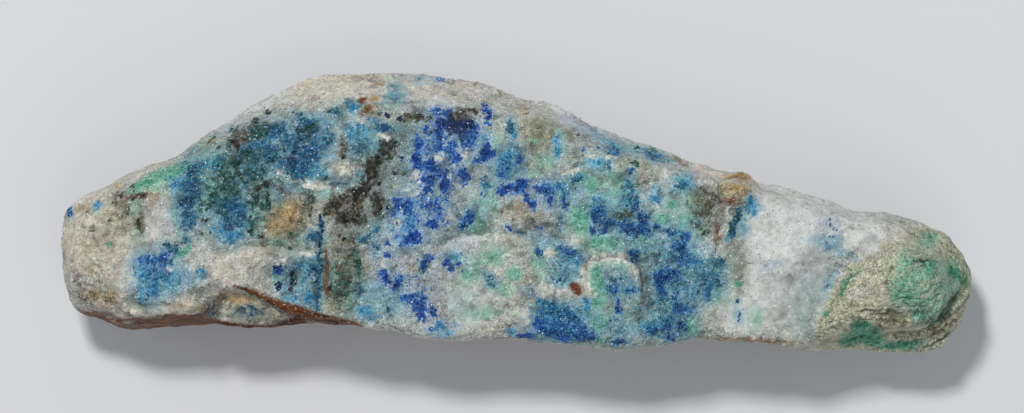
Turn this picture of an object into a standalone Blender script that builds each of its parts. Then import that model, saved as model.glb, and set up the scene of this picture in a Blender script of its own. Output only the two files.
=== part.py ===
"""An azurite and malachite specimen: one long splinter of vein quartz with a sandstone nodule in its end.

The stone lies on its broken back with the mineral face up. X runs along its length, Y across it from
the thick edge to the thin bevelled edge, and Z is up from the surface that it lies on.
All sizes below are millimetres, and the mesh is scaled to metres when it is made.
"""

import bpy
import numpy as np
from mathutils import Matrix, Vector, noise

# ---------------------------------------------------------------- driving dimensions (mm)

LENGTH = 102.0
WIDTH = 31.5
FACE_LEVEL = 17.6  # height of the mineral face above the resting surface, at mid length
SLAB = 20.0  # thickness of the blank that the stone is shaped from
BLANK_VOXEL = 0.66  # grid that the blank is divided by before it is shaped
FACES_KEPT = 0.221  # share of the shaped blank's faces that the finished stone keeps
WALL_CHIP = 0.85  # mean depth of the chips in the thick edge's broken wall
SHELF_DROP = 1.9  # depth of the shelf under the overhang
NODULE_RISE = 1.3  # how far the nodule stands proud of the quartz beside it
NODULE_ROUND = 3.4  # how far the nodule's face falls away to its outer rim
THINNEST = 2.2  # least thickness of the thin edge
METRE = 0.001

STONE_COLOUR = (0.30, 0.42, 0.44, 1.0)
STONE_ROUGHNESS = 0.62

# The stone's outline, seen from above, anticlockwise from its right-hand tip.
THIN_EDGE = [
    (51.0, -6.8), (50.3, -4.9), (48.4, -2.4), (44.2, -0.7), (41.8, 0.0), (37.7, 0.2),
    (34.9, 1.3), (31.9, 2.3), (29.1, 3.1), (26.8, 3.2), (26.1, 4.2), (25.1, 4.6),
    (23.2, 4.6), (21.3, 5.3), (19.1, 5.8), (17.5, 6.6), (14.8, 7.6), (13.1, 8.0),
    (8.1, 10.0), (7.0, 10.9), (5.3, 11.7), (2.4, 12.6), (0.5, 12.9), (-2.2, 14.1),
    (-5.9, 15.0), (-12.2, 15.7), (-21.5, 15.8), (-24.0, 14.9), (-25.2, 14.0), (-26.5, 13.7),
    (-30.0, 11.8), (-31.4, 10.6), (-34.0, 9.4), (-37.8, 6.3), (-40.6, 5.5), (-42.9, 4.6),
    (-46.6, 2.7), (-48.5, 1.7), (-50.6, 0.3), (-51.0, -2.0),
]
THICK_EDGE = [
    (-51.0, -4.6), (-50.5, -7.2), (-49.7, -10.6), (-48.9, -11.2), (-43.6, -13.1), (-39.0, -12.8),
    (-33.8, -12.5), (-28.0, -12.9), (-23.5, -12.4), (-18.2, -12.5), (-15.4, -13.2), (-13.8, -13.2),
    (-10.1, -14.1), (-6.0, -14.4), (-4.2, -14.0), (-1.5, -14.1), (3.7, -14.4), (5.9, -14.8),
    (8.5, -15.1), (12.1, -15.4), (15.2, -14.9), (18.4, -14.6), (19.4, -13.9), (23.8, -14.4),
    (27.0, -14.5), (30.2, -15.1), (33.4, -15.5), (37.9, -15.1), (39.4, -15.6), (44.9, -15.8),
    (47.6, -15.1), (49.9, -11.9), (50.7, -9.5),
]
OUTLINE = THIN_EDGE + THICK_EDGE

# Stations along X for values that change along the stone: (x, value).
BEVEL_WIDTH = [
    (-51, 1.0), (-44, 1.6), (-36, 2.2), (-30, 2.2), (-25, 3.6), (-8, 3.7), (-2, 2.4),
    (3, 1.7), (7, 2.6), (12, 1.8), (18, 1.2), (28, 1.2), (36, 1.8), (44, 2.6), (51, 2.6),
]
BEVEL_DROP = [(-51, 1.6), (-36, 3.0), (-25, 4.2), (-8, 4.4), (2, 3.6), (7, 3.6), (18, 2.2), (51, 2.2)]
# Height of the furthest reach of each edge, as a share of the thickness there.
THIN_GIRTH = [(-51, 0.45), (-30, 0.5), (-10, 0.4), (4, 0.6), (18, 0.75), (24, 0.6), (36, 0.7), (51, 0.5)]
THICK_GIRTH = [(-51, 0.5), (-46, 0.16), (-35, 0.16), (-32, 0.85), (31, 0.85), (37, 0.5), (51, 0.5)]
# How far each edge draws in above and below its furthest reach.
THIN_DRAW_ABOVE = [(-51, 1.0), (-44, 0.3), (40, 0.3), (46, 1.4), (51, 2.0)]
THIN_DRAW_BELOW = [(-51, 1.6), (-40, 1.0), (-10, 0.8), (10, 1.4), (36, 1.8), (46, 2.2), (51, 2.4)]
THICK_DRAW_ABOVE = [
    (-51, 1.0), (-47, 1.4), (-35, 1.5), (-33, 0.25), (30, 0.2), (36, 1.4), (44, 2.4), (51, 2.4),
]
THICK_DRAW_BELOW = [(-51, 1.6), (-46, 0.4), (-35, 0.3), (-29, 1.6), (10, 2.6), (30, 1.8), (51, 2.6)]

# Ledges: a path, with the high ground on the left of it as it is walked.
OVERHANG = [
    (-34.6, -13.4), (-34.5, -10.6), (-33.6, -9.4), (-31.0, -8.5), (-29.0, -9.2), (-27.4, -10.2),
    (-26.0, -11.0), (-23.0, -11.6), (-20.0, -12.1), (-17.5, -12.8),
]
CRUST_EDGE = [(-19.5, 3.2), (-22.0, 2.4), (-24.5, 3.4), (-27.5, 4.8)]
CRUST_BAND = [(-16.5, -4.2), (-20.0, -4.6), (-24.0, -4.3), (-27.5, -3.5), (-31.5, -3.9), (-34.5, -7.2)]
PLATE_EDGE = [(5.0, -1.4), (0.0, -2.4), (-4.0, -2.3), (-6.3, -2.3), (-9.2, -4.4), (-10.4, -7.0)]
PLATEAU_EDGE = [(13.9, -9.0), (13.7, -6.4), (12.3, -4.9), (8.0, -5.4), (7.8, -8.6)]
UPPER_STEP = [(17.0, 5.6), (13.0, 6.2), (10.4, 6.4), (8.2, 6.0), (5.4, 4.6)]
NODULE_EDGE = [
    (45.5, -1.2), (42.0, -2.6), (39.6, -4.6), (37.2, -6.0), (35.6, -8.0), (34.6, -10.0),
    (33.6, -12.0), (33.4, -16.4),
]
NODULE_TERRACE_1 = [(42.9, -12.0), (41.2, -11.9), (40.2, -11.6), (38.8, -10.9), (37.6, -10.8)]
NODULE_TERRACE_2 = [(51.6, -7.6), (49.4, -9.8), (48.0, -11.8), (46.4, -12.9), (43.4, -13.8), (40.8, -13.2)]

# Domes and hollows: (x, y, half length, half width, turn in degrees, height).
LUMPS = [
    (24.9, 2.9, 2.3, 1.8, 25, 1.7),  # brown knob in the thin edge
    (22.4, -2.6, 1.6, 3.4, -8, 0.6),
    (6.6, -3.3, 1.4, 1.0, 20, 0.9),
    (3.1, -8.9, 1.5, 1.2, 0, 0.9),
    (1.0, -11.6, 1.4, 1.5, 0, 0.9),
    (6.7, -8.5, 0.8, 0.8, 0, 0.7),  # a loose grain of iron stone
    (-31.6, -5.9, 4.2, 2.2, 28, 0.9),
    (-20.0, 4.8, 2.2, 1.3, 20, 0.9),
    (-16.8, 12.0, 1.4, 1.6, 0, 0.8),
    (-18.0, 9.0, 1.8, 1.6, 0, 0.6),
    (-43.5, -9.6, 4.5, 2.2, -5, 0.9),
    (-40.5, 1.2, 3.0, 2.2, 20, 0.7),
    (-47.5, -2.2, 3.4, 2.6, 10, 1.0),
    (-8.6, -8.4, 2.6, 3.4, 15, 0.6),
    (20.8, -4.9, 1.4, 1.1, 0, 0.6),
    (17.8, -11.4, 1.9, 2.4, 0, 0.6),
    (30.2, -4.6, 4.6, 3.0, -10, 0.9),
    (28.4, -11.2, 4.0, 2.4, 5, 0.7),
    (38.6, -9.2, 1.3, 1.0, 0, 0.5),
    (43.4, -8.2, 4.4, 3.2, 15, 1.0),
]
HOLLOWS = [
    (-26.2, -7.4, 2.6, 1.9, 10, 1.0),
    (-18.6, 1.0, 2.6, 2.0, -15, 1.0),
    (-13.2, 6.6, 1.3, 4.4, -25, 0.9),
    (-28.6, 2.4, 2.6, 1.8, 0, 0.7),
    (-21.2, -7.4, 0.8, 4.2, 4, 0.9),  # seam
    (-6.4, 1.6, 3.2, 2.2, 30, 0.8),
    (2.8, 7.4, 2.6, 3.4, 10, 0.6),
    (14.2, -2.4, 2.0, 1.6, 0, 0.8),
    (15.0, -7.0, 1.0, 2.4, 5, 0.7),
    (21.0, 1.6, 1.8, 1.8, 0, 0.8),
    (33.8, -6.6, 3.2, 2.0, 30, 0.9),
    (-36.2, -3.8, 2.4, 1.6, 20, 0.6),
    (45.3, -5.6, 1.1, 0.8, 0, 0.8),
    (41.4, -7.7, 0.9, 1.3, 0, 0.7),
    (43.0, -11.9, 2.2, 1.0, 10, 0.9),
]

# Break planes of the back: rise per millimetre along X and along Y, and height at the middle of the stone.
BACK_BREAKS = [
    (0.010, 0.012, -0.9),
    (-0.015, 0.50, -1.8),
    (0.28, 0.88, -5.4),
    (-0.42, 0.80, -15.8),
    (-0.03, -0.95, -9.6),
    (-0.25, 0.05, -5.8),
    (0.36, -0.10, -14.2),
    (0.20, -0.85, -15.0),
]


# ---------------------------------------------------------------- small tools


def along(x, stations):
    """The value at x of a list of (x, value) stations."""
    places, values = zip(*stations)
    return np.interp(x, places, values)


def smooth(low, high, value):
    """0 below low, 1 above high and an even S between them."""
    share = np.clip((value - low) / (high - low), 0.0, 1.0)
    return share * share * (3.0 - 2.0 * share)


def to_segments(points, path):
    """Distance of every point to every segment of the path, and each segment's left-hand normal."""
    start = np.array(path[:-1])
    run = np.array(path[1:]) - start
    length = np.hypot(run[:, 0], run[:, 1])
    gap = points[:, None, :] - start[None, :, :]
    share = np.clip((gap * run).sum(2) / length**2, 0.0, 1.0)
    off = gap - share[:, :, None] * run
    left = np.stack([-run[:, 1], run[:, 0]], axis=1) / length[:, None]
    return np.hypot(off[:, :, 0], off[:, :, 1]), off, left


def rim_distance(points):
    """Distance of every point to the outline, and the direction inwards there."""
    distance, _, left = to_segments(points, OUTLINE + OUTLINE[:1])
    nearest = distance.min(axis=1)
    weight = np.exp(-(distance - nearest[:, None]) / 1.4)
    inward = weight @ left
    inward /= np.hypot(inward[:, 0], inward[:, 1])[:, None]
    return nearest, inward


def ledge(points, path, height, reach, soft=0.5):
    """High ground on the left of a path, which drops sharply at the path and eases away from it."""
    distance, off, left = to_segments(points, path)
    nearest = distance.argmin(axis=1)
    rows = np.arange(len(points))
    side = np.sign((off[rows, nearest] * left[nearest]).sum(1))
    signed = side * distance[rows, nearest]
    return height * smooth(-soft, soft, signed) * np.exp(-np.maximum(signed, 0.0) / reach)


def dome(points, lump):
    """A round lump of the given half length, half width, turn and height."""
    x, y, long_half, wide_half, turn, height = lump
    angle = np.radians(turn)
    dx = points[:, 0] - x
    dy = points[:, 1] - y
    u = (dx * np.cos(angle) + dy * np.sin(angle)) / long_half
    v = (dy * np.cos(angle) - dx * np.sin(angle)) / wide_half
    return height * np.exp(-1.2 * (u * u + v * v) ** 1.3)


def facets(places, width, offset):
    """Broken-stone relief from about -1 to 1: flat chips about this wide that meet in crisp edges."""
    shift = Vector(offset)
    heights = []
    for place in places:
        spot = Vector(place) / width + shift
        distances, centres = noise.voronoi(spot)
        total = 0.0
        weights = 0.0
        for distance, centre in zip(distances, centres):
            weight = np.exp(-9.0 * (distance - distances[0]))
            tilt = noise.noise_vector(centre * 2.3)
            total += weight * (noise.noise(centre * 3.7) + 1.7 * tilt.dot(spot - centre))
            weights += weight
        heights.append(total / weights)
    return np.array(heights)


def roughness(places, scale, octaves, offset):
    """Fractal noise from about -1 to 1 at every place, with features about as large as the scale."""
    shift = Vector(offset)
    return np.array([noise.fractal(Vector(p) / scale + shift, 0.9, 2.1, octaves) for p in places])


# ---------------------------------------------------------------- the shape of the stone


def face_height(points, rim):
    """Height of the mineral face: its crown, its bevelled thin edge, the nodule, and its ledges and lumps."""
    x = points[:, 0]
    y = points[:, 1]
    height = FACE_LEVEL - 0.9 * (x / 50.0) ** 2 - 0.010 * (y + 3.0) ** 2
    height -= 3.0 * smooth(-37.0, -53.0, x)
    thin_distance = to_segments(points, THIN_EDGE)[0].min(axis=1)
    bevel = along(x, BEVEL_WIDTH)
    height -= along(x, BEVEL_DROP) * (1.0 - smooth(0.0, 1.15, thin_distance / bevel))
    height -= 0.6 * (1.0 - smooth(0.0, 0.9, rim))
    height -= SHELF_DROP * (1.0 - recess_wall(points))
    height += ledge(points, CRUST_EDGE[::-1], 0.5, 2.2)
    height += ledge(points, CRUST_BAND, 1.0, 2.6, 0.8)
    height += ledge(points, PLATE_EDGE, 0.9, 7.0)
    height += ledge(points, PLATEAU_EDGE, 0.9, 5.0)
    height += ledge(points, UPPER_STEP, 0.7, 4.0)
    height += nodule_rise(points, rim)
    for lump in LUMPS:
        height += dome(points, lump)
    for hollow in HOLLOWS:
        height -= dome(points, hollow)
    return height


def recess_wall(points):
    """0 on the low shelf under the overhang at the thick edge, and 1 on the rest of the face."""
    distance, off, left = to_segments(points, OVERHANG)
    nearest = distance.argmin(axis=1)
    rows = np.arange(len(points))
    side = (off[rows, nearest] * left[nearest]).sum(1)
    return smooth(-0.25, 0.45, np.sign(side) * distance[rows, nearest])


def nodule_rise(points, rim):
    """The sandstone nodule: it stands a little proud of the quartz, is round at its outer rim and terraced."""
    distance, off, left = to_segments(points, NODULE_EDGE)
    nearest = distance.argmin(axis=1)
    rows = np.arange(len(points))
    signed = np.sign((off[rows, nearest] * left[nearest]).sum(1)) * distance[rows, nearest]
    inside = smooth(-0.4, 1.6, signed)
    groove = 0.7 * np.exp(-((signed + 0.5) / 0.9) ** 2)
    round_off = NODULE_ROUND * inside * np.clip(1.0 - rim / 4.6, 0.0, 1.0) ** 2
    terraces = ledge(points, NODULE_TERRACE_1, 0.8, 2.0, 0.4)
    terraces += ledge(points, NODULE_TERRACE_2, 1.0, 1.8, 0.4)
    return NODULE_RISE * inside - groove - round_off + terraces


def back_height(points, rim):
    """Height of the broken back: the highest of its break planes, eased a little into each other."""
    x = points[:, 0]
    y = points[:, 1]
    planes = np.stack([rise_x * x + rise_y * y + middle for rise_x, rise_y, middle in BACK_BREAKS])
    ease = 0.45
    height = ease * np.log(np.exp(planes / ease).sum(axis=0))
    return height + 0.6 * (1.0 - smooth(0.0, 1.2, rim))


def edge_draw(points, inward, level, chips):
    """How far a wall point draws in from the outline, by its level between the back (0) and the face (1)."""
    x = points[:, 0]
    thin = smooth(0.35, -0.35, inward[:, 1])
    girth = thin * along(x, THIN_GIRTH) + (1.0 - thin) * along(x, THICK_GIRTH)
    above = thin * along(x, THIN_DRAW_ABOVE) + (1.0 - thin) * along(x, THICK_DRAW_ABOVE)
    below = thin * along(x, THIN_DRAW_BELOW) + (1.0 - thin) * along(x, THICK_DRAW_BELOW)
    rise = np.clip((level - girth) / (1.0 - girth), 0.0, 1.0)
    fall = np.clip((girth - level) / girth, 0.0, 1.0)
    chipped = WALL_CHIP * (1.0 + chips) * (smooth(0.0, 0.45, fall) + 0.5 * thin * smooth(0.0, 0.8, rise))
    return above * rise**1.6 + below * fall**1.3 + chipped


def shaped(blank):
    """The blank's points moved to the stone's surface."""
    flat = blank[:, :2]
    rim, inward = rim_distance(flat)
    level = np.clip(blank[:, 2] / SLAB, 0.0, 1.0)
    face = face_height(flat, rim)
    back = back_height(flat, rim)
    broad = facets(blank, 11.0, (3.1, 7.7, 1.3))
    small = facets(blank, 5.0, (5.2, 0.4, 6.1))
    swell = roughness(blank, 13.0, 2, (9.0, 2.0, 5.0))
    grit = roughness(blank, 3.4, 2, (1.0, 4.0, 8.0))
    draw = edge_draw(flat, inward, level, broad + 0.45 * small)
    places = np.empty_like(blank)
    places[:, :2] = flat + inward * (draw * np.exp(-rim / (2.2 * draw + 0.5)))[:, None]
    face += 0.5 * swell + 0.34 * grit + 0.22 * small
    back += 0.6 * swell + 1.3 * broad + 0.7 * small
    face = np.maximum(face, back + THINNEST)
    places[:, 2] = back + level * (face - back)
    return places


# ---------------------------------------------------------------- building


def clear_scene():
    for thing in list(bpy.data.objects):
        bpy.data.objects.remove(thing, do_unlink=True)


def new_collection(name):
    made = bpy.data.collections.new(name)
    bpy.context.scene.collection.children.link(made)
    return made


def outline_blank():
    """The outline extruded to a slab that stands on z = 0, as a mesh in millimetres."""
    curve = bpy.data.curves.new("outline", "CURVE")
    curve.dimensions = "2D"
    curve.fill_mode = "BOTH"
    curve.extrude = SLAB / 2.0
    spline = curve.splines.new("POLY")
    spline.points.add(len(OUTLINE) - 1)
    spline.use_cyclic_u = True
    for point, (x, y) in zip(spline.points, OUTLINE):
        point.co = (x, y, 0.0, 1.0)
    guide = bpy.data.objects.new("outline_guide", curve)
    bpy.context.scene.collection.objects.link(guide)
    weld = guide.modifiers.new("weld_caps", "WELD")
    weld.merge_threshold = 0.0001
    divide = guide.modifiers.new("divide", "REMESH")
    divide.mode = "VOXEL"
    divide.voxel_size = BLANK_VOXEL
    bpy.context.view_layer.update()
    graph = bpy.context.evaluated_depsgraph_get()
    mesh = bpy.data.meshes.new_from_object(guide.evaluated_get(graph))
    bpy.data.objects.remove(guide, do_unlink=True)
    return mesh


def stone_material():
    material = bpy.data.materials.new("mineral_stone")
    material.use_nodes = True
    shader = material.node_tree.nodes["Principled BSDF"]
    shader.inputs["Base Color"].default_value = STONE_COLOUR
    shader.inputs["Roughness"].default_value = STONE_ROUGHNESS
    shader.inputs["Metallic"].default_value = 0.0
    material.diffuse_color = STONE_COLOUR
    return material


def resting_cutter(collection):
    """A block whose top is the plane that the stone lies on: it takes the lowest of the back off flat."""
    bpy.ops.mesh.primitive_cube_add(size=1.0)
    cutter = bpy.context.active_object
    cutter.name = "resting_plane_cutter"
    depth = 0.010
    size = Matrix.Diagonal((2.0 * LENGTH * METRE, 3.0 * WIDTH * METRE, depth, 1.0))
    cutter.data.transform(Matrix.Translation((0.0, 0.0, -depth / 2.0)) @ size)
    cutter.hide_render = True
    cutter.display_type = "WIRE"
    for owner in list(cutter.users_collection):
        owner.objects.unlink(cutter)
    collection.objects.link(cutter)
    return cutter


def build_stone(collection, cutter):
    mesh = outline_blank()
    count = len(mesh.vertices)
    blank = np.empty(count * 3, np.float32)
    mesh.vertices.foreach_get("co", blank)
    blank = blank.reshape(-1, 3).astype(np.float64)
    blank[:, 2] += SLAB / 2.0
    mesh.vertices.foreach_set("co", (shaped(blank) * METRE).ravel())
    mesh.name = "azurite_malachite_stone"
    stone = bpy.data.objects.new("azurite_malachite_stone", mesh)
    collection.objects.link(stone)
    mesh.materials.append(stone_material())
    fewer = stone.modifiers.new("fewer_faces", "DECIMATE")
    fewer.ratio = FACES_KEPT
    flat = stone.modifiers.new("resting_flat", "BOOLEAN")
    flat.operation = "DIFFERENCE"
    flat.solver = "EXACT"
    flat.object = cutter
    return stone


def main():
    clear_scene()
    parts = new_collection("azurite_malachite_specimen")
    cutters = new_collection("cutters")
    build_stone(parts, resting_cutter(cutters))


main()
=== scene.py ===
"""Looks of an azurite and malachite specimen: a splinter of vein quartz, blue and green on its
broken face."""

import math

import bpy
import numpy as np
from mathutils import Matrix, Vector, noise


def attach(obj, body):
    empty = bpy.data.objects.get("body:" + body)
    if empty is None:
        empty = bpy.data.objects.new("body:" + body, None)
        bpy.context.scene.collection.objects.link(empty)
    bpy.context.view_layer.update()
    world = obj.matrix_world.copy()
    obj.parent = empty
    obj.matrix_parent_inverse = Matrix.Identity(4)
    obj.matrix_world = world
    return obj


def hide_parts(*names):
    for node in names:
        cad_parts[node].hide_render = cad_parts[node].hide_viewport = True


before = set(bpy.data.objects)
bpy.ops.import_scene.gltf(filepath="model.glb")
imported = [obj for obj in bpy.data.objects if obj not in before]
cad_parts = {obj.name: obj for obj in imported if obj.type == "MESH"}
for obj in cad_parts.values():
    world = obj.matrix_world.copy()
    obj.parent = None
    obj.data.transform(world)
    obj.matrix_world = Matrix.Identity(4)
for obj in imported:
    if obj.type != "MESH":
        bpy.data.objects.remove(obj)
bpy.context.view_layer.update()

MM = 0.001
STONE_NODE = "azurite_malachite_stone"
SEED = 4490

# ---------------------------------------------------------------- camera, lights and floor

CAMERA_HEIGHT = 0.95
VIEW_WIDTH = 114.6 * MM  # at the height of the stone's girth
VIEW_MIDDLE = (-0.51 * MM, 0.70 * MM)
GIRTH_HEIGHT = 7.5 * MM  # where the stone is widest
SENSOR_WIDTH = 36.0
FLOOR_SIDE = 4.0
LIGHTS = {  # power in watts, size and place in metres
    "key": (5.6, 0.12, (-0.18, 0.38, 0.88)),
    "glint": (0.35, 0.03, (-0.14, 0.34, 0.90)),
    "fill": (2.4, 1.2, (0.3, -0.8, 1.0)),
}
LIT_POINT = (0.0, 0.0, 0.01)
SKY = ((0.9, 0.95, 1.0, 1.0), 0.37)  # colour, strength

# ---------------------------------------------------------------- the surface, in millimetres

SURFACE_VOXEL = 0.44  # spacing of the surface's points, halved on the mineral face
FORM_SMOOTHING = 2
FACE_UP = 0.50  # least upward slope of what counts as the mineral face
FACE_LOWEST = 4.0  # least height of it

# Breaks that step the face: height, and points walked with the high ground on the left.
STEPS = {
    "crust_overhang": (0.30, [(-34.6, -13.4), (-34.5, -10.6), (-33.6, -9.4), (-31, -8.5),
                              (-29, -9.2), (-27.4, -10.2), (-26, -11), (-23, -11.6),
                              (-20, -12.1), (-17.5, -12.8)]),
    "crust_band": (0.16, [(-16.5, -4.2), (-20, -4.6), (-24, -4.3), (-27.5, -3.5), (-31.5, -3.9),
                          (-34.5, -7.2)]),
    "thin_plate": (0.26, [(5, -1.4), (0, -2.4), (-4, -2.3), (-6.3, -2.3), (-9.2, -4.4),
                          (-10.4, -7)]),
    "plateau": (0.28, [(13.9, -9), (13.7, -6.4), (12.3, -4.9), (8, -5.4), (7.8, -8.6)]),
    "upper_step": (0.18, [(17, 5.6), (13, 6.2), (10.4, 6.4), (8.2, 6), (5.4, 4.6)]),
    "white_ledge": (0.20, [(-21, 2.6), (-22.2, 2.9), (-23.4, 3.3), (-24.6, 2.9)]),
    "ring_ledge": (0.18, [(-15.5, 4.0), (-17.6, 3.4), (-19.4, 2.6), (-20.8, 2.9)]),
    "small_ledge": (0.16, [(9.6, -3.6), (7.6, -3.9), (6.0, -3.6)]),
    "nodule_terrace": (0.45, [(45.4, -11.4), (42.9, -12.0), (41.2, -11.9), (40.2, -11.6),
                              (38.8, -10.9), (37.6, -10.8)]),
    "nodule_skirt": (0.5, [(51.6, -7.6), (49.4, -9.8), (48, -11.8), (46.4, -12.9),
                           (43.4, -13.8), (40.8, -13.2)]),
    "rim_step": (0.16, [(-2, 10.4), (-6, 11.2), (-11, 11.0), (-14.6, 10.9), (-18, 11.1)]),
}
STEP_SOFT = 0.14  # half the width of a step's slope
STEP_FADE = (0.3, 1.6)  # distances between which a step fades into the level ground

LUMPS_AND_PITS = [  # x, y, half length, half width, height
    (6.7, -3.2, 0.9, 0.7, 0.22), (3.3, -8.6, 0.9, 0.8, 0.22), (1.0, -11.6, 0.8, 1.1, 0.2),
    (-23.0, 3.0, 1.2, 0.5, 0.15), (-19.4, 4.9, 1.2, 1.0, 0.15), (24.6, 3.5, 1.5, 1.1, 0.25),
    (-14.8, 8.4, 0.9, 0.4, 0.15), (38.5, -9.0, 1.0, 0.8, 0.15), (3.3, -4.4, 0.6, 0.4, 0.12),
    (11.6, -7.2, 0.9, 0.5, 0.12), (-16.7, 1.2, 0.8, 1.0, 0.12), (6.6, -8.5, 0.35, 0.4, 0.12),
    (-25.1, -7.6, 0.5, 1.0, -0.22), (-26.6, -6.6, 0.7, 0.6, -0.15), (-20.6, 0.6, 1.2, 1.0, -0.15),
    (-18.4, -0.4, 1.4, 0.8, -0.12), (42.0, -11.7, 1.4, 0.8, -0.22), (23.0, -0.4, 0.6, 1.6, -0.18),
    (0.6, 6.6, 0.8, 2.0, -0.1), (16.4, 2.6, 0.5, 1.2, -0.1), (-22.4, -9.0, 0.4, 2.2, -0.14),
]
LUMP_EDGE = (1.2, 0.3)  # from its foot to its top, where 1 is the edge that its row gives
DEEPENING = 1.3  # what the heights of the steps, lumps and pits are multiplied by

SWELL_HEIGHT, SWELL_SIZE = 0.18, 3.0
FACETS = ((1.6, 0.2, 1), (0.75, 0.22, 2))  # size, how far they lean, number
FACET_RISE = 0.25  # how far whole facets stand off, as a share of what their lean gives
FACETS_ON_BACK = 0.35  # share of the facets' height that is left on the back and walls,
FACETS_LOST_IN_SAND = 0.7  # share that the nodule's sand takes away,
FACETS_LOST_IN_QUARTZ = 0.6  # and that the clean quartz takes away,
CREAM_AS_QUARTZ = 0.6  # as the cream quartz does by this share
RIBS = [  # sizes along, across and down the nodule's beds, noise of a full rib, share
    ((1.1, 0.42, 1.0), 0.22, 0.7), ((0.55, 0.3, 0.8), 0.25, 0.3),
]
RIB_HEIGHT, RIB_LEVEL, CRACK_DEPTH = 0.30, 0.7, 0.45
GAP_SHADE, GAP_LEVEL = 1.2, 0.75
# The hollows' darkening is painted shade.
HOLLOW_SHADE_DEPTHS = (0.02, 0.3)  # depths between which a hollow darkens
BED_CURL, BED_CURL_START, BED_CURL_ROWS = 0.075, 42.0, (-3.0, -8.0)

# Upward slopes between which something comes to show, from none of it to all of it.
RELIEF_SLOPES = (0.1, 0.6)
MINERAL_SLOPES = (0.05, 0.4)
NODULE_SLOPES = (-0.6, -0.2)
BACK_SLOPES = (0.25, -0.25)
WALL_SLOPES = (0.5, 0.3)

# What makes edges ragged: reach and size in millimetres, the two clouds' numbers, and octaves.
RELIEF_WANDERING = [(0.35, 0.9, (1, 2), 2)]
NODULE_WANDERING = [(0.35, 0.8, (31, 32), 2)]
MINERAL_WANDERING = [(0.34, 0.7, (11, 13), 3), (0.25, 0.3, (12, 14), 2)]

# Steps between the places that one number and the next take in the noise.
CLOUD_STEP = (17.3, 5.1, 9.7)
FACET_STEP = (11.1, 3.7, 7.9)
LEAN_SPREAD = 31.0

# ---------------------------------------------------------------- colours

# Tones are colours as seen, red green blue out of 255, from dark to light.
QUARTZ = ((168, 168, 158), (190, 190, 182))
BACK_STAIN = ((112, 68, 36), (150, 104, 62))
# the rust's tones, which also paint the shadow under the overhang
RUST_AND_SHADE = ((38, 18, 7), (132, 74, 36))
NODULE_SAND = ((146, 146, 122), (202, 200, 176))
# the colour of the painted glints
PAINTED_GLINT = (226, 234, 238)
PAPER = (214, 214, 216)


def mineral(tones, patches, veins=(), edge=None):
    """A mineral's tones and the places on the face that it covers, in millimetres.

    Patches are kept by cover, the share of the surface's grains that the mineral takes there. Each
    is (x, y, half length, half width, turn in degrees) and may stop early: the turn is then 0, and
    a round patch gives its radius only. A vein is its cover and a path of (x, y, half width).
    The higher the edge, the harder the grains end."""
    return {"tones": tones, "patches": patches, "veins": veins, "edge": edge}


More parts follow.
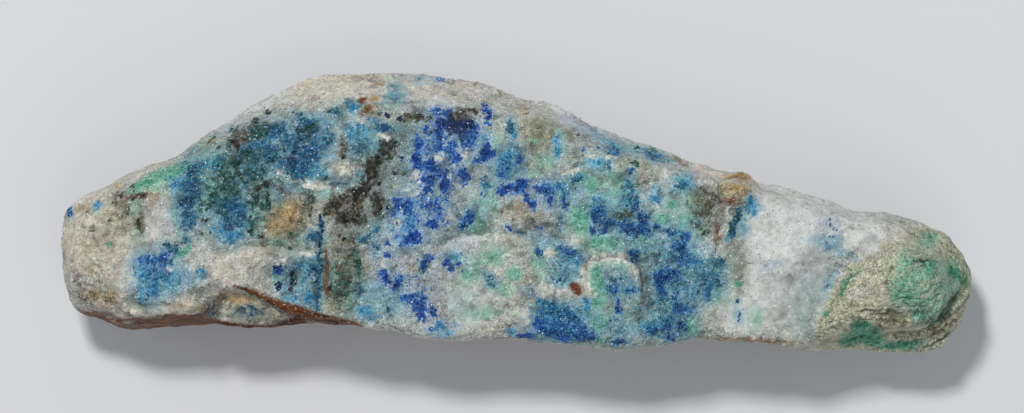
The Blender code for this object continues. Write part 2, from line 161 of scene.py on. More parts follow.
# Stains and films in the quartz, laid one over the other in this order.
TINTS = {
    "cream": mineral(((190, 180, 160), (226, 217, 200)), {
        0.3: [(-27, 12.6, 3, 0.9, 25)],
        0.4: [(25, -11.8, 2.4, 1.8), (-6, 2.2, 1.6, 1.2), (31, 2.6, 4, 1, -18)],
        0.5: [(-45, -9.9, 3.6, 0.8), (21.4, -0.6, 0.5)],
        0.6: [(-38.5, -10.6, 3, 0.7), (-43.5, -10.8, 3, 0.8), (39.7, -1.6, 0.9, 0.6),
            (-1.6, 8.2, 0.4, 1.4), (-11.4, -8.4, 1.4, 0.6), (-49, 1, 2, 1.2, 30),
            (-46, 2.6, 2, 0.8, 30), (-42, 4.9, 3, 0.7, 28), (-44, -6.8, 2.2, 2.6)],
        0.65: [(-46, -3, 5.5, 4)],
        0.7: [(-32.6, -7.2, 2, 1), (-5.4, 6.4, 0.9, 0.6, 20), (6.2, -9.2, 1.8, 0.7),
            (41.6, -3.8, 1.3, 0.9), (42.8, -2.4, 1.2, 0.7)],
        0.8: [(-49.3, -2.5, 1.8, 3.5), (-28.4, -4.2, 1.4, 0.6), (-8.7, 6.3, 0.9, 0.5),
            (-13.6, -3, 0.6), (22.6, 4, 1.4, 0.6, -10), (8.4, -9, 0.5, 0.6)],
        0.85: [(-9, 13.6, 5, 1.2, -3)],
        0.9: [(-31.2, -5.4, 3, 1.4, 15), (-20, 14, 8, 1.5), (-19.2, 4.8, 1, 0.9),
            (-13.1, -1.2, 0.5, 1), (20.9, 4.7, 1.6, 0.6, -15)],
        1: [(-39, -10.4, 3.4, 0.9), (-22.6, 3, 1.5, 0.4)],
    }, [
        # The veins along the white ledge and the plateau's rim are pale quartz and painted
        # highlight where these edges catch the light.
        (0.6, [(-27.2, 4.8, 0.4), (-25.6, 3.9, 0.35), (-24.2, 3.4, 0.3), (-22, 2.9, 0.3)]),
        (1, [(7.9, -8.6, 0.4), (7.9, -5.9, 0.5), (9, -5.3, 0.55), (10.5, -5.1, 0.6),
            (12.2, -5.3, 0.6), (12.9, -5.9, 0.55), (13.4, -7, 0.5), (13.6, -8.6, 0.35)]),
    ]),
    "clean_quartz": mineral(((184, 187, 182), (218, 221, 218)), {
        0.4: [(-33.4, -3, 1)],
        0.45: [(33, 1.3, 3.4, 0.9, -15)],
        0.5: [(-40, -1.4, 1.8, 2.2), (-1.2, 7.6, 0.4, 1.6), (-7, -13.2, 4.4, 1)],
        0.55: [(3.6, 10.3, 3.2, 1, -17)],
        0.6: [(-17.8, 10.2, 0.8, 0.5), (-11.6, 2.8, 1.1, 0.9), (-5, -10, 2.6, 2.4),
            (28, 3.2, 3.4, 1, -18)],
        0.7: [(-6.9, -3.6, 1.3, 0.9), (10, 9.2, 3.6, 0.5, -22), (-8.6, 12.4, 1.6, 0.4),
            (-24, -8.2, 0.5, 0.8)],
        0.8: [(39, -2.6, 3, 1.8, -10), (24.8, -11.4, 2.6, 1.9), (-32.6, 10, 2.4, 0.9, 40),
            (-28.6, 12.4, 3, 0.8, 25), (6.4, 10.9, 3.2, 0.6, -25), (-22.2, 3, 1.8, 0.4, -5),
            (20.8, -4.6, 0.7, 0.6), (-38.6, -6.4, 0.6, 0.7)],
        0.9: [(16.6, 3.3, 0.6, 1.6), (0.8, -11.7, 0.8, 1.2), (-11.3, 4.2, 0.7, 0.5)],
        1: [(30.5, -2, 5.5, 5, -10), (29.2, -8, 4.6, 5), (36.5, -1.4, 4.5, 1.8, -10),
            (32.5, -9, 3, 4.5), (-14.5, 8.6, 0.9, 0.35, -8), (6.9, -3.2, 0.8, 0.6),
            (3.2, -8.6, 0.8, 0.7), (3.5, -4.5, 0.6, 0.5), (16.6, -2.8, 0.6, 0.7),
            (5.6, 4.7, 1.3, 0.35)],
    }, [
        # The first vein, along the thin plate's edge, is pale quartz and painted highlight where
        # the edge catches the light.
        (0.7, [(-8.6, -4, 0.25), (-6.8, -2.8, 0.35), (-5, -2.9, 0.4), (-3, -2.8, 0.25),
            (-1, -2.4, 0.15)]),
        (0.9, [(-27.2, -5.3, 0.2), (-25.8, -4.8, 0.4), (-24, -4.4, 0.4), (-22.7, -4.4, 0.2)]),
    ]),
    "lavender": mineral(((150, 164, 184), (186, 198, 212)), {
        0.3: [(-12.2, 0, 1.4, 1.2)],
        0.4: [(-10.2, -1, 1.2, 1), (34.8, -1, 1.4, 1), (-6.8, -3.8, 1, 0.8)],
        0.5: [(-11.2, 3.6, 1), (28.4, -5.8, 0.9, 0.6), (36, -6.5, 0.5, 0.8), (-42.8, -5, 0.6, 1)],
        0.6: [(8.6, 9, 1.4, 0.6, -20), (-15.2, -8.8, 1.4, 0.5), (15.4, 1.8, 1.1, 0.8)],
        0.7: [(-37.8, -6.8, 1.1, 0.7), (-1.2, -1.6, 0.5, 0.4)],
        0.8: [(-8.7, 15, 0.9, 0.5), (5.8, 10.4, 1.2, 0.6, -20)],
    }),
    "grey": mineral(((118, 122, 114), (158, 160, 148)), {
        0.2: [(-47, -2.4, 1.4, 1.2), (32.6, -4.2, 1.6, 2.4, 20)],
        0.25: [(-47.2, -8.6, 2.4)],
        0.3: [(1, -13, 3, 1), (-9.6, -7.4, 2, 1.4)],
        0.4: [(14, -8, 1.2, 4), (4.2, -6, 0.6, 2.4), (-17, -4.6, 1.4, 2),
            (-35.4, 7.4, 2.2, 0.6, 35), (31, -10.6, 3.6, 2.6)],
        0.5: [(-35, -9.6, 1.5, 1.4), (-43.4, -0.6, 2.8, 1.8), (-44.2, 1, 1.2), (3.6, -2, 1.6, 1.2)],
        0.6: [(16.6, -9.2, 0.8, 0.9), (24.6, -5, 1.2, 2.6), (-14.6, -9.6, 1.8, 1),
            (-44.2, -9.4, 1, 0.9)],
        0.7: [(-29.6, 2.2, 6.4, 5), (-8.6, -2.8, 1.5, 1.1, 10)],
        0.8: [(-13.2, 5.2, 2.2, 4)],
        0.9: [(-19, -6.6, 2.4, 4.4), (-21, 4, 0.9, 0.6), (-12, 9.2, 1.2)],
    }),
    "olive": mineral(((112, 114, 90), (150, 150, 124)), {
        0.2: [(-26.5, -1, 3)],
        0.22: [(-25, 8, 4, 3), (-20, 2, 3)],
        0.25: [(-26.5, -10.4, 3, 1.6)],
        0.3: [(-14.5, 8.5, 3.5, 3), (0.6, 12, 1.2, 0.5)],
        0.35: [(-26, -3.4, 2.6, 1.8)],
        0.4: [(-6.6, 13.4, 1, 0.7)],
        0.5: [(14.6, -4.8, 1), (24.8, -6.4, 1.3, 2.6), (-13.6, 4.4, 1.4, 1.9)],
        0.6: [(12, 5.7, 1.2, 0.6), (20.8, -1, 1.5, 1.6), (-31.4, 8.1, 1.3, 0.9), (-13.2, 3, 1.2, 1),
            (-17.2, -6.4, 0.6, 0.9), (-12.7, 8.6, 1.1, 1.9)],
        0.7: [(2.4, 5.4, 2, 1.3), (-15.2, 5, 1.1, 1.8, -20), (12, -0.2, 1.6, 0.8),
            (11.4, -2, 0.5, 0.6), (-31.6, 4.8, 1.4, 1.8), (13.6, -0.4, 0.7, 0.6),
            (-11.3, -6.2, 0.5, 0.6), (-10.6, 10.8, 1, 0.4)],
        0.8: [(-23.9, 0.8, 0.9, 2.2), (14.7, 5.2, 0.7, 0.5), (-29, -1, 1, 1.6),
            (-25.2, -1.4, 1, 1.6)],
        0.9: [(2.6, 8.6, 2.2, 2.4), (6, 8.7, 0.5, 0.8), (21, 1.6, 1.5, 1.3)],
    }),
    "beige": mineral(((148, 136, 112), (182, 170, 146)), {
        0.3: [(22.4, -11.2, 1.6, 1.4), (-38, -9, 1, 0.8)],
        0.35: [(-46.4, -3.8, 4.6, 3.6)],
        0.4: [(-2.2, -13, 2, 0.6)],
        0.5: [(-11.6, -6.8, 1.4, 1), (0.8, -9.6, 1), (22.6, 0.2, 0.5, 1.3), (-44, 0.4, 2.2, 1.8),
            (41.2, -4.6, 0.8, 0.6), (-46.8, -9.4, 2.2, 1.2)],
        0.6: [(7.8, 4.7, 0.8, 0.4), (1.4, -6.8, 0.8, 1.2), (-34.8, 7.6, 1.6, 0.4, 40),
            (29.6, -14.4, 3, 0.5, -5), (-48.4, 0.5, 0.9, 0.6), (-0.6, -3.4, 1, 0.5)],
        0.7: [(13.8, -11, 0.4, 1.3), (1.8, -0.6, 1.8, 0.6), (-0.8, -4.2, 0.8, 0.5)],
        0.75: [(-30.6, -10.9, 4, 1.6, -10)],
        0.8: [(14, -7.6, 0.5, 2.2), (-6.9, 1.2, 1.3, 1.5), (13.9, 3.3, 0.9, 1),
            (24.4, 2.6, 1.8, 1.2, 20)],
        0.9: [(0, 0.5, 1.9, 1.2), (13.7, -10.6, 0.7, 1.6), (-26.2, -11.7, 1.2, 0.5)],
        0.95: [(14.3, -7.4, 0.9, 1.7)],
    }),
    "ochre": mineral(((136, 102, 56), (206, 176, 116)), {
        0.4: [(-37.8, -10.4, 1.4, 0.4), (41.4, -3.7, 0.7, 0.6), (-48.4, 0.6, 0.7, 0.5)],
        0.5: [(-45.4, -9.6, 0.7), (-47.6, -6.4, 0.8, 0.4), (-47.4, -9.3, 0.8, 0.6),
            (7.8, 4.7, 0.4, 0.3)],
        0.6: [(-44.7, 3.1, 0.7, 0.4), (-40.6, 1.6, 0.5, 1.3), (-34.9, -10.8, 0.8, 0.5),
            (-11.4, -6.2, 0.3, 0.5), (-17, -6.5, 0.3, 0.5), (-31.2, -9.6, 2.4, 0.7, -12)],
        0.7: [(-20.8, -10.3, 0.4, 1.3)],
        0.8: [(-15, 14.4, 0.6, 0.3), (-16, 12.8, 0.6, 0.4)],
        0.85: [(24.8, 3.5, 1.9, 1.3, 20)],
        0.9: [(-26.2, 3.4, 1.2, 0.8, -20), (-16.8, 11.5, 0.9, 0.45, 30), (0.9, 11.2, 0.35, 0.3),
            (-19, -3.2, 0.8, 0.3, -20), (-26.6, -7.3, 0.2, 0.25)],
        0.95: [(-25.2, 1.6, 1.3, 2.2), (-26.7, -0.9, 1.7, 1.6)],
    }, [
        (0.8, [(-19.5, 9.6, 0.25), (-19.6, 8.2, 0.35), (-19.4, 6.6, 0.4)]),
        (0.8, [(-21.9, 4.2, 0.2), (-21.4, 4.9, 0.25), (-20.4, 5.2, 0.25), (-19.8, 5.1, 0.15)]),
    ]),
    "rust_stain": mineral(((92, 54, 28), (146, 98, 56)), {
        0.5: [(-42, -1.6, 0.5, 0.9), (-45.2, -9.9, 0.4, 0.3)],
        0.6: [(-17, 11.3, 0.7, 0.3, 30), (18.2, 5.8, 1.2, 0.25, -28), (-26, -0.9, 0.3, 0.5),
            (-31.5, 6.6, 0.3, 0.8), (-25.3, 2.3, 0.3, 0.7)],
        0.7: [(25.3, 3.9, 0.8, 0.5, 20), (-19.4, 6.8, 0.3, 0.7)],
        0.8: [(22.4, -2.4, 0.5, 1), (-12, 10.7, 0.7, 0.35)],
        0.9: [(-17.3, 12.5, 0.5, 0.4), (-5.3, 10.6, 0.6, 0.35), (-30.5, 9.1, 1, 0.6),
            (23.9, 1.3, 1, 0.4)],
    }, [
        (0.9, [(-21.3, -4.4, 0.2), (-21.2, -6, 0.35), (-21.4, -8.2, 0.35), (-21, -9.4, 0.2)]),
        (1, [(6.25, -8.1, 0.4), (6.7, -8.5, 0.5), (6.95, -9, 0.3)]),
        (0.7, [(-5, -14.2, 0.15), (-1, -14.1, 0.2), (3, -14.4, 0.2)]),
        (0.7, [(20, -13.9, 0.15), (24, -14.3, 0.25), (27, -14.3, 0.2), (29, -14.7, 0.2)]),
        (0.6, [(-22.2, 4, 0.12), (-21.7, 4.8, 0.15), (-20.6, 5.35, 0.15)]),
    ]),
    "teal_film": mineral(((80, 124, 126), (126, 158, 156)), {
        0.12: [(-12.5, 5, 2.4, 4.4), (31, -9, 3)],
        0.2: [(-29, 5, 6.5, 4.5, 20)],
        0.22: [(-33, 0.6, 3, 3.6)],
        0.25: [(34.6, -6.6, 2.6, 4), (14, -6, 6, 8)],
        0.3: [(-10, -1, 9, 3), (2.5, -3.5, 3, 4), (33.2, -11, 2.4, 3.6), (-8, 9, 4, 3),
            (-19, -9, 3)],
        0.35: [(-6.5, 5.5, 9, 4.5)],
        0.4: [(-24.5, -7.6, 2.6, 3)],
        0.45: [(6.2, 4.8, 3.4)],
    }),
    # Dark mottling of the quartz, which on the shelf under the overhang is painted shade as well.
    "dark_mottle_and_shade": mineral(((48, 58, 54), (98, 106, 98)), {
        0.2: [(-20.5, 1.6, 2, 1.6), (-26, 7.4, 4, 2.6, 15), (-11.8, 0.8, 2.4, 1.6)],
        0.22: [(-14.8, 8.4, 3.4, 2.4)],
        0.25: [(-26.6, -3.4, 2.2, 1.6), (-34.4, 0, 1.6), (-26, -1.6, 1.8, 1.6),
            (-36.2, 1.2, 1.2, 3.4, -8), (-23.2, -3.2, 1.6, 1), (11.4, -11.6, 2.2),
            (9.6, 0.8, 1.8, 1.4), (-25.6, -8.4, 3, 2.8), (1.2, -8.8, 1)],
        0.28: [(-30, 3.4, 4.8, 4.6, 15)],
        0.3: [(3.6, 2, 2.6, 2.4), (9, 8.2, 2.2, 1.2, -20), (-43.6, 1.2, 1.4, 1.2),
            (-42.2, -1.2, 0.7, 1), (17.4, -8.4, 3.2, 6), (11.2, -8, 1.8, 1.2), (1.2, -9.6, 1.2, 1),
            (-27, -3.6, 3, 0.9)],
        0.35: [(12.4, -1, 2.4, 1.4), (-25.2, -8, 1.2, 1.6), (2.6, -1.3, 1.2, 0.6),
            (4.4, -5, 0.6, 2.6), (-12.4, 8.6, 1.6, 1.8)],
        0.4: [(21.2, 0.6, 1.8, 2.4), (3.5, -2.6, 1.6, 1.1), (4.3, -3.4, 0.5, 2.6),
            (-21.2, -7.4, 0.6, 3), (-7.2, 9.4, 2.4, 1.8), (-26.4, 2.4, 0.8, 0.6)],
        0.45: [(-19, -6.5, 1.8, 3.8), (-31.6, 5.6, 2, 2.6), (-32.8, 2.6, 2.2, 2.6),
            (-28.6, 0.4, 1.4, 2.6)],
        0.5: [(-17.6, 4.4, 2.8, 3.4, -25), (-18.4, -0.6, 3, 2.6), (-30.6, 8.3, 1.8, 1, 20),
            (-23.6, 8.8, 1.4, 1.6), (-14.6, 7.3, 1.3, 1.2), (-6.2, 9.7, 1.8, 1.2),
            (-10.8, 10.6, 1.4, 0.5), (-15.4, 0.6, 1, 2), (-28.8, 9.4, 1.4, 1),
            (-20.4, -12, 3.4, 0.8)],
        # On the shelf under the overhang: its darker colour and painted shade.
        0.6: [(-26.2, -12.3, 1.6, 0.4), (-34.2, -11.2, 1.4, 1)],
        0.7: [(-29.8, -11.2, 2.2, 1)],
    }),
    "green_wash": mineral(((106, 158, 140), (156, 195, 177)), {
        0.15: [(31.4, -12.6, 2.2, 1.2)],
        0.25: [(-33.4, 3, 3.4, 4.6)],
        0.3: [(-43.2, -0.3, 0.6), (-6.2, -10, 1.8, 2.4), (-13.5, -9.8, 3.4, 2.6),
            (12.4, -10.4, 1.6, 2)],
        0.4: [(-42.2, -3.4, 1, 2.2), (-41, -10.7, 1.6, 0.7), (-29, -0.6, 0.9, 1.6),
            (12, 7.2, 1, 0.7), (17, -10.6, 2, 1), (-14, 12.3, 1.2, 0.8), (18.6, 1.6, 2.2, 1.4)],
        0.45: [(-19.4, -8.4, 1.8, 3)],
        0.5: [(-37.9, -0.4, 0.6, 1.6), (11.6, -5.8, 1.6, 0.6), (-16.2, 8, 1, 1.4),
            (4.9, 8, 0.9, 1.4), (7.4, 4.6, 0.9, 0.4), (-2, 7.8, 0.7, 1.4)],
        0.6: [(-39.6, 3.6, 2.2, 1.3, 20), (-42.8, 0.8, 0.9, 0.6), (14.4, -3.4, 1.4, 1.2),
            (26.6, -11.8, 0.9, 1.6), (22.8, -9.4, 1.4, 0.9), (3.2, 5.7, 1.2, 0.9),
            (-26.8, -3.4, 1, 0.6), (20.6, -2.4, 0.8, 0.9)],
        0.7: [(-2.4, -4.6, 1.6, 1.2), (-4, -5.5, 1.9, 1), (-1.4, -8.7, 1.2, 1),
            (-3.8, -11.2, 2, 0.8), (10.8, 1.8, 1.5, 1), (2.6, -6.2, 1, 1.2), (19, -0.8, 1.5, 1),
            (1.8, 8, 0.3), (-21.2, 2.2, 1.3, 0.6, 20), (-34.8, 6.7, 0.9, 0.5)],
        0.8: [(-3.2, 1.2, 1.4, 1.7), (-4.4, -1.4, 1.6, 1), (-5.3, -6.9, 1.3, 1), (-0.4, -6.9, 1),
            (-1, 4.3, 1.3, 0.7, 20), (1.4, 4.2, 0.9, 0.6), (10.2, 3.8, 2.2, 1.5), (8.3, 3.2, 1.1),
            (9.8, -3.4, 2.8, 1.2), (9, -7.4, 1.1, 2.2), (9, -11.6, 1.2, 2.4),
            (16.4, -0.8, 1.2, 0.9), (17.5, 0.9, 0.9, 0.7), (19.6, -12.8, 1.2, 1.1)],
        0.9: [(7, -0.9, 1.4, 2)],
    }),
    "blue_wash": mineral(((86, 142, 166), (136, 182, 198)), {
        0.2: [(-30, -11.1, 1.6, 0.9)],
        0.3: [(-29, 6.8, 5.6, 3.2, 20), (-9.8, 5.2, 2.8, 4.4), (24.9, -11.3, 0.9),
            (-34.1, -10.9, 0.5, 1.2)],
        0.35: [(13.6, -3, 4.4, 1.6)],
        0.4: [(-19.6, 3.2, 1.8, 0.8), (8.4, 8.8, 2.2, 0.7, -22), (3.6, 2.2, 1.6),
            (16.4, -4.2, 0.7, 1)],
        0.5: [(-24.6, 6, 3.8, 4), (-21, 10.6, 1.4, 1), (-15, -9.4, 2.8, 2.6), (11, -7.8, 2.2, 1.8),
            (35, -7.8, 0.7, 1.4, -10), (2.8, -3.2, 1.6, 0.9, -20), (-10.8, 14.8, 0.7),
            (-3.4, 7.4, 1.4, 1.6), (9.4, 0.6, 2), (1.4, -8.8, 0.9, 0.7)],
        0.55: [(-12.4, -1.8, 2.2, 2.4), (34.7, -3.2, 1.8, 0.9)],
        0.6: [(-32, -1.2, 2.4, 2.6), (-37.6, -7.4, 2.2, 1.2), (-24.6, -8, 2.4, 2.8),
            (12.6, 7.2, 3.6, 0.8, -20), (11.4, -12.8, 1.8, 1.6), (18, -6.6, 2.6, 5.4),
            (6.6, 2.6, 1, 2), (-15.8, -4, 0.6, 1.2), (-23, 10.4, 1.6, 0.8)],
        0.7: [(-36.6, 2.4, 1.8, 4, -8), (-23, -5.4, 1.2, 0.8), (-18, 8.6, 2.2),
            (-13.6, 13.4, 1.2, 1.4), (-17.4, 3.8, 0.8), (-7, -5, 1.4, 0.8), (4.6, 7.4, 0.6, 1.6),
            (4.8, -7.6, 1.3, 0.7), (15, -12.6, 1.9, 1.3), (12.6, 1.6, 1.2, 2.4), (15.8, 2, 1.2, 1),
            (25.4, -1.6, 0.7, 1.2), (7.9, -10.2, 0.8, 0.9), (-0.6, -13.2, 0.7, 0.5)],
        0.75: [(-40.4, -7.4, 2.8)],
        0.8: [(-38.2, 3.2, 0.9, 1), (-18.5, 11.8, 1.1, 0.9), (-3, -7.6, 0.7, 1, 30),
            (9, 5.5, 1.9, 0.9), (5.6, -5.6, 1.9, 2.1), (18.7, 3.6, 1.3, 1.2),
            (20.7, -5.2, 1.2, 1.1), (21.8, -7, 1.7, 1.9), (26.4, 0.7, 0.9, 1.2),
            (15.6, 6.3, 2.2, 0.7, -22), (5, -12, 3.6, 2.2), (-8.2, -13, 1.6, 0.9),
            (-16.8, -11.2, 1.4, 0.9), (-47, 0.8, 0.6, 0.6, 40), (-0.6, 5.6, 1.6, 2, -20),
            (-0.5, 9.2, 0.6, 1.5)],
    }, [
        (0.5, [(35.6, -4, 0.5), (36.8, -4.6, 0.45), (38, -5.1, 0.3)]),
    ]),
}

